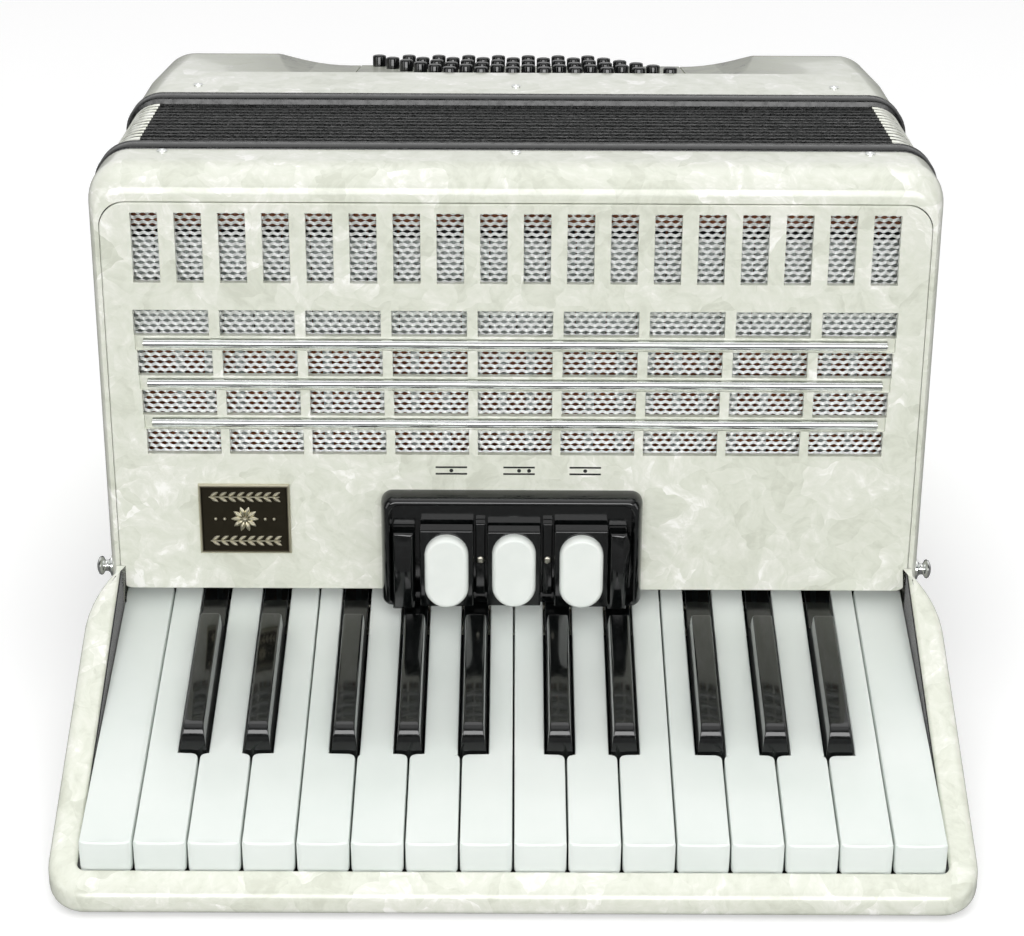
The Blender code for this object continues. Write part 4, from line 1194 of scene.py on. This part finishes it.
# ---- Bass buttons --------------------------------------------------------------------------
# Turned black plastic buttons with slightly domed tops, eight to a row, each row on its carrier.
lean_c, lean_s = math.cos(scoop_angle), math.sin(scoop_angle)
button = loft([[(radius * c, radius * s * lean_c + z * lean_s, z * lean_c - radius * s * lean_s)
                for c, s in circle(22)]
               for radius, z in ((0.0028, -0.0054), (0.0030, -0.0052), (0.0030, 0.0040), (0.00292, 0.0045),
                                 (0.0027, 0.0048), (0.0022, 0.0050), (0.0014, 0.00515), (0.0004, 0.0052))])
for row in range(6):
    body = f"bass_button_row_{row + 1}"
    points = [field(row_x[row] + k * button_pitch, row_y[row], 0.0) for k in range(8)]
    repeat(f"button_row_{row + 1}", button.copy(), points, gloss_black, body, [body])
    carrier = field_slab((row_x[row] - button_radius, row_y[row] - 0.0036, -0.007),
                         (row_x[row] + 7 * button_pitch + button_radius, row_y[row] + 0.0036, -0.005))
    part(f"button_carrier_{row + 1}", carrier, beech, body, soften=0.0003)
button.free()

# ---- Hand strap ----------------------------------------------------------------------------
# Doubled black leather, 55 mm wide, stitched along both edges, arched over the bass end and held
# by a screwed plate at each end.
leather, tree, shader, place = finish("grained_black_leather", Roughness=0.5, Sheen_Weight=0.1)
hide = add_node(tree, "ShaderNodeTexVoronoi", {"Vector": place, "Scale": 900.0}, feature="SMOOTH_F1")
crease = noise(tree, place, 120.0, 5.0)
tint(tree, shader, crease, (0.3, "#0C0C0D"), (0.7, "#232325"))
dull(tree, shader, crease, 0.36, 0.6, 0.3, 0.7)
bump(tree, shader, hide.outputs["Distance"], 0.0004, 0.7)
strap_low, strap_high = span("bass_strap", "z")
strap_reach = span("bass_strap", "x")[1]
strap_z, strap_half = (strap_low + strap_high) / 2, (strap_high - strap_low) / 2
strap_base = bass_end + hair


def strap_rise(x):
    return 0.026 * max(0.0, 1 - (x / strap_reach) ** 2) ** 0.6


rings = []
stops = [-strap_reach * math.cos(math.pi * k / 48) for k in range(49)]
for x in stops:
    y = strap_base + strap_rise(x)
    edge_pull = 0.0012 * (1 - abs(x / strap_reach)) ** 0.5
    half = strap_half - edge_pull
    ring = [(x, y + 0.0004, strap_z - half), (x, y, strap_z - half + 0.0006),
            (x, y, strap_z + half - 0.0006), (x, y + 0.0004, strap_z + half),
            (x, y + 0.0021, strap_z + half)]
    for k in range(9):
        across_strap = 1 - k / 4
        crown = 0.0012 * (1 - across_strap ** 4) * (1 - (x / strap_reach) ** 8)
        ring.append((x, y + 0.0026 + crown, strap_z + across_strap * (half - 0.0006)))
    ring.append((x, y + 0.0021, strap_z - half))
    rings.append(ring)
strap = part("leather_hand_strap", loft(rings), leather, "bass_side", ["bass_strap"], smooth=50)
thread = grained("waxed_black_thread", 2600.0, 3.0, ((0.3, "#1E1E20"), (0.7, "#3A3A3D")), Roughness=0.6)
points, turns = [], []
for side in (-1, 1):
    for k in range(58):
        x = -0.1140 + 0.004 * k
        slope = (strap_rise(x + 0.0005) - strap_rise(x - 0.0005)) / 0.001
        points.append((x, strap_base + strap_rise(x) + 0.0031, strap_z + side * (strap_half - 0.0042)))
        turns.append((0.0, 0.0, math.atan(slope)))
stitch = loft([[(x, r * c, r * s) for c, s in circle(6)]
               for x, r in ((-0.0013, 0.00012), (-0.0009, 0.00034), (0.0009, 0.00034), (0.0013, 0.00012))])
repeat("strap_stitches", stitch, points, thread, "bass_side", turns=turns)
plates = bmesh.new()
for side in (-1, 1):
    rings = []
    for inset, y in ((0.0, strap_base + 0.0031), (0.0, strap_base + 0.0042), (0.0005, strap_base + 0.0046)):
        rings.append(outline(0.009 - inset, strap_low - 0.003 + inset, strap_high + 0.003 - inset,
                             0.003 - inset, y, steps=6, middle=side * (strap_reach + 0.003)))
    plate_bm = loft(rings)
    for z in (strap_low - 0.0018, strap_high + 0.0018):
        slab(plate_bm, (side * (strap_reach + 0.003) - 0.009, bass_end - 0.0004, z - 0.0010),
             (side * (strap_reach + 0.003) + 0.009, strap_base + 0.0036, z + 0.0010))
    gather(plates, plate_bm)
part("strap_end_plates", plates, chrome, "bass_side")
points = [(side * (strap_reach + 0.003), strap_base + 0.0046, z) for side in (-1, 1)
          for z in (strap_z - 0.018, strap_z + 0.018)]
repeat("strap_screws", screw_head(0.0028, 0.0012), points, dull_steel, "bass_side",
       turns=[(0, 0, math.pi)] * 4)

# ---- Strap wheel ---------------------------------------------------------------------------
# A knurled wheel on the side of the bass casing draws the hand strap tight.
wheel_start, wheel_end = span("bass_strap_wheel", "x")
wheel_y = sum(span("bass_strap_wheel", "y")) / 2
wheel_z = sum(span("bass_strap_wheel", "z")) / 2
rings = []
for x, radius, knurl in ((wheel_start, 0.0052, 0.0), (wheel_start + 0.0007, 0.0052, 0.0),
                         (wheel_start + 0.0009, 0.0100, 0.0), (wheel_start + 0.0014, 0.0110, 0.0006),
                         (wheel_end - 0.0012, 0.0110, 0.0006), (wheel_end - 0.0006, 0.0100, 0.0),
                         (wheel_end - 0.0004, 0.0060, 0.0), (wheel_end - 0.0010, 0.0050, 0.0),
                         (wheel_end - 0.0010, 0.0010, 0.0)):
    reaches = (radius, radius - knurl) * 36
    rings.append([(x, wheel_y + reach * c, wheel_z + reach * s)
                  for reach, (c, s) in zip(reaches, circle(72))])
part("knurled_strap_wheel", loft(rings), chrome, "bass_strap_wheel", ["bass_strap_wheel"],
     smooth=28)

# ---- Air button ----------------------------------------------------------------------------
# A black button on a steel stem beside the strap, in a chromed collar; it lets the bellows close
# without a note.
air_near, air_far = span("air_button", "y")
part("air_button_head", turned_shape(air_x, air_z, (
    (air_near, 0.0050), (air_near + 0.0004, 0.0055), (air_far - 0.0012, 0.0055), (air_far - 0.0004, 0.0050),
    (air_far - 0.0001, 0.0042), (air_far - 0.0003, 0.0030), (air_far - 0.0006, 0.0010))), gloss_black,
    "air_button", ["air_button"])
part("air_button_stem", turned_shape(air_x, air_z, ((bass_end - 0.010, 0.0026), (bass_end - 0.0096, 0.0029),
                                                    (air_near + 0.0002, 0.0029))), dull_steel,
     "air_button")
collar = ((-0.0002, 0.0062), (0.0016, 0.0062), (0.0022, 0.0068), (0.0020, 0.0078), (0.0010, 0.0086),
          (-0.0002, 0.0088))
part("air_button_collar", turned_shape(air_x, air_z, [(bass_end + y, r) for y, r in collar], closed=True),
     chrome, "bass_side")

# ---- Feet ----------------------------------------------------------------------------------
# Moulded rubber feet screwed to the back of the bass casing, their soles cut level with the table.
rubber = grained("moulded_black_rubber", 500.0, 5.0, ((0.3, "#141414"), (0.7, "#292929")),
                 gloss=(0.62, 0.85), relief=(0.0001, 0.5), Roughness=0.75)
fall = -along.z / along.y
foot_radius = 0.007
foot_height = 0.008
for name, side in (("left", -1), ("right", 1)):
    foot_x, foot_y = (sum(span(f"bass_foot_{name}", letter)) / 2 for letter in "xy")
    foot_far = foot_y + foot_radius
    rings = []
    for share, radius in ((0.0, 0.0058), (0.06, 0.0062), (0.12, 0.0066), (0.90, 0.0070), (0.97, 0.0068),
                          (1.0, 0.0063)):
        ring = [(foot_x + radius * c, foot_y + radius * s) for c, s in circle(28)]
        rings.append([(x, y, -hair + share * (-foot_height + hair - fall * (foot_far - y)))
                      for x, y in ring])
    part(f"rubber_foot_{name}", loft(rings), rubber, "bass_side", [f"bass_foot_{name}"])
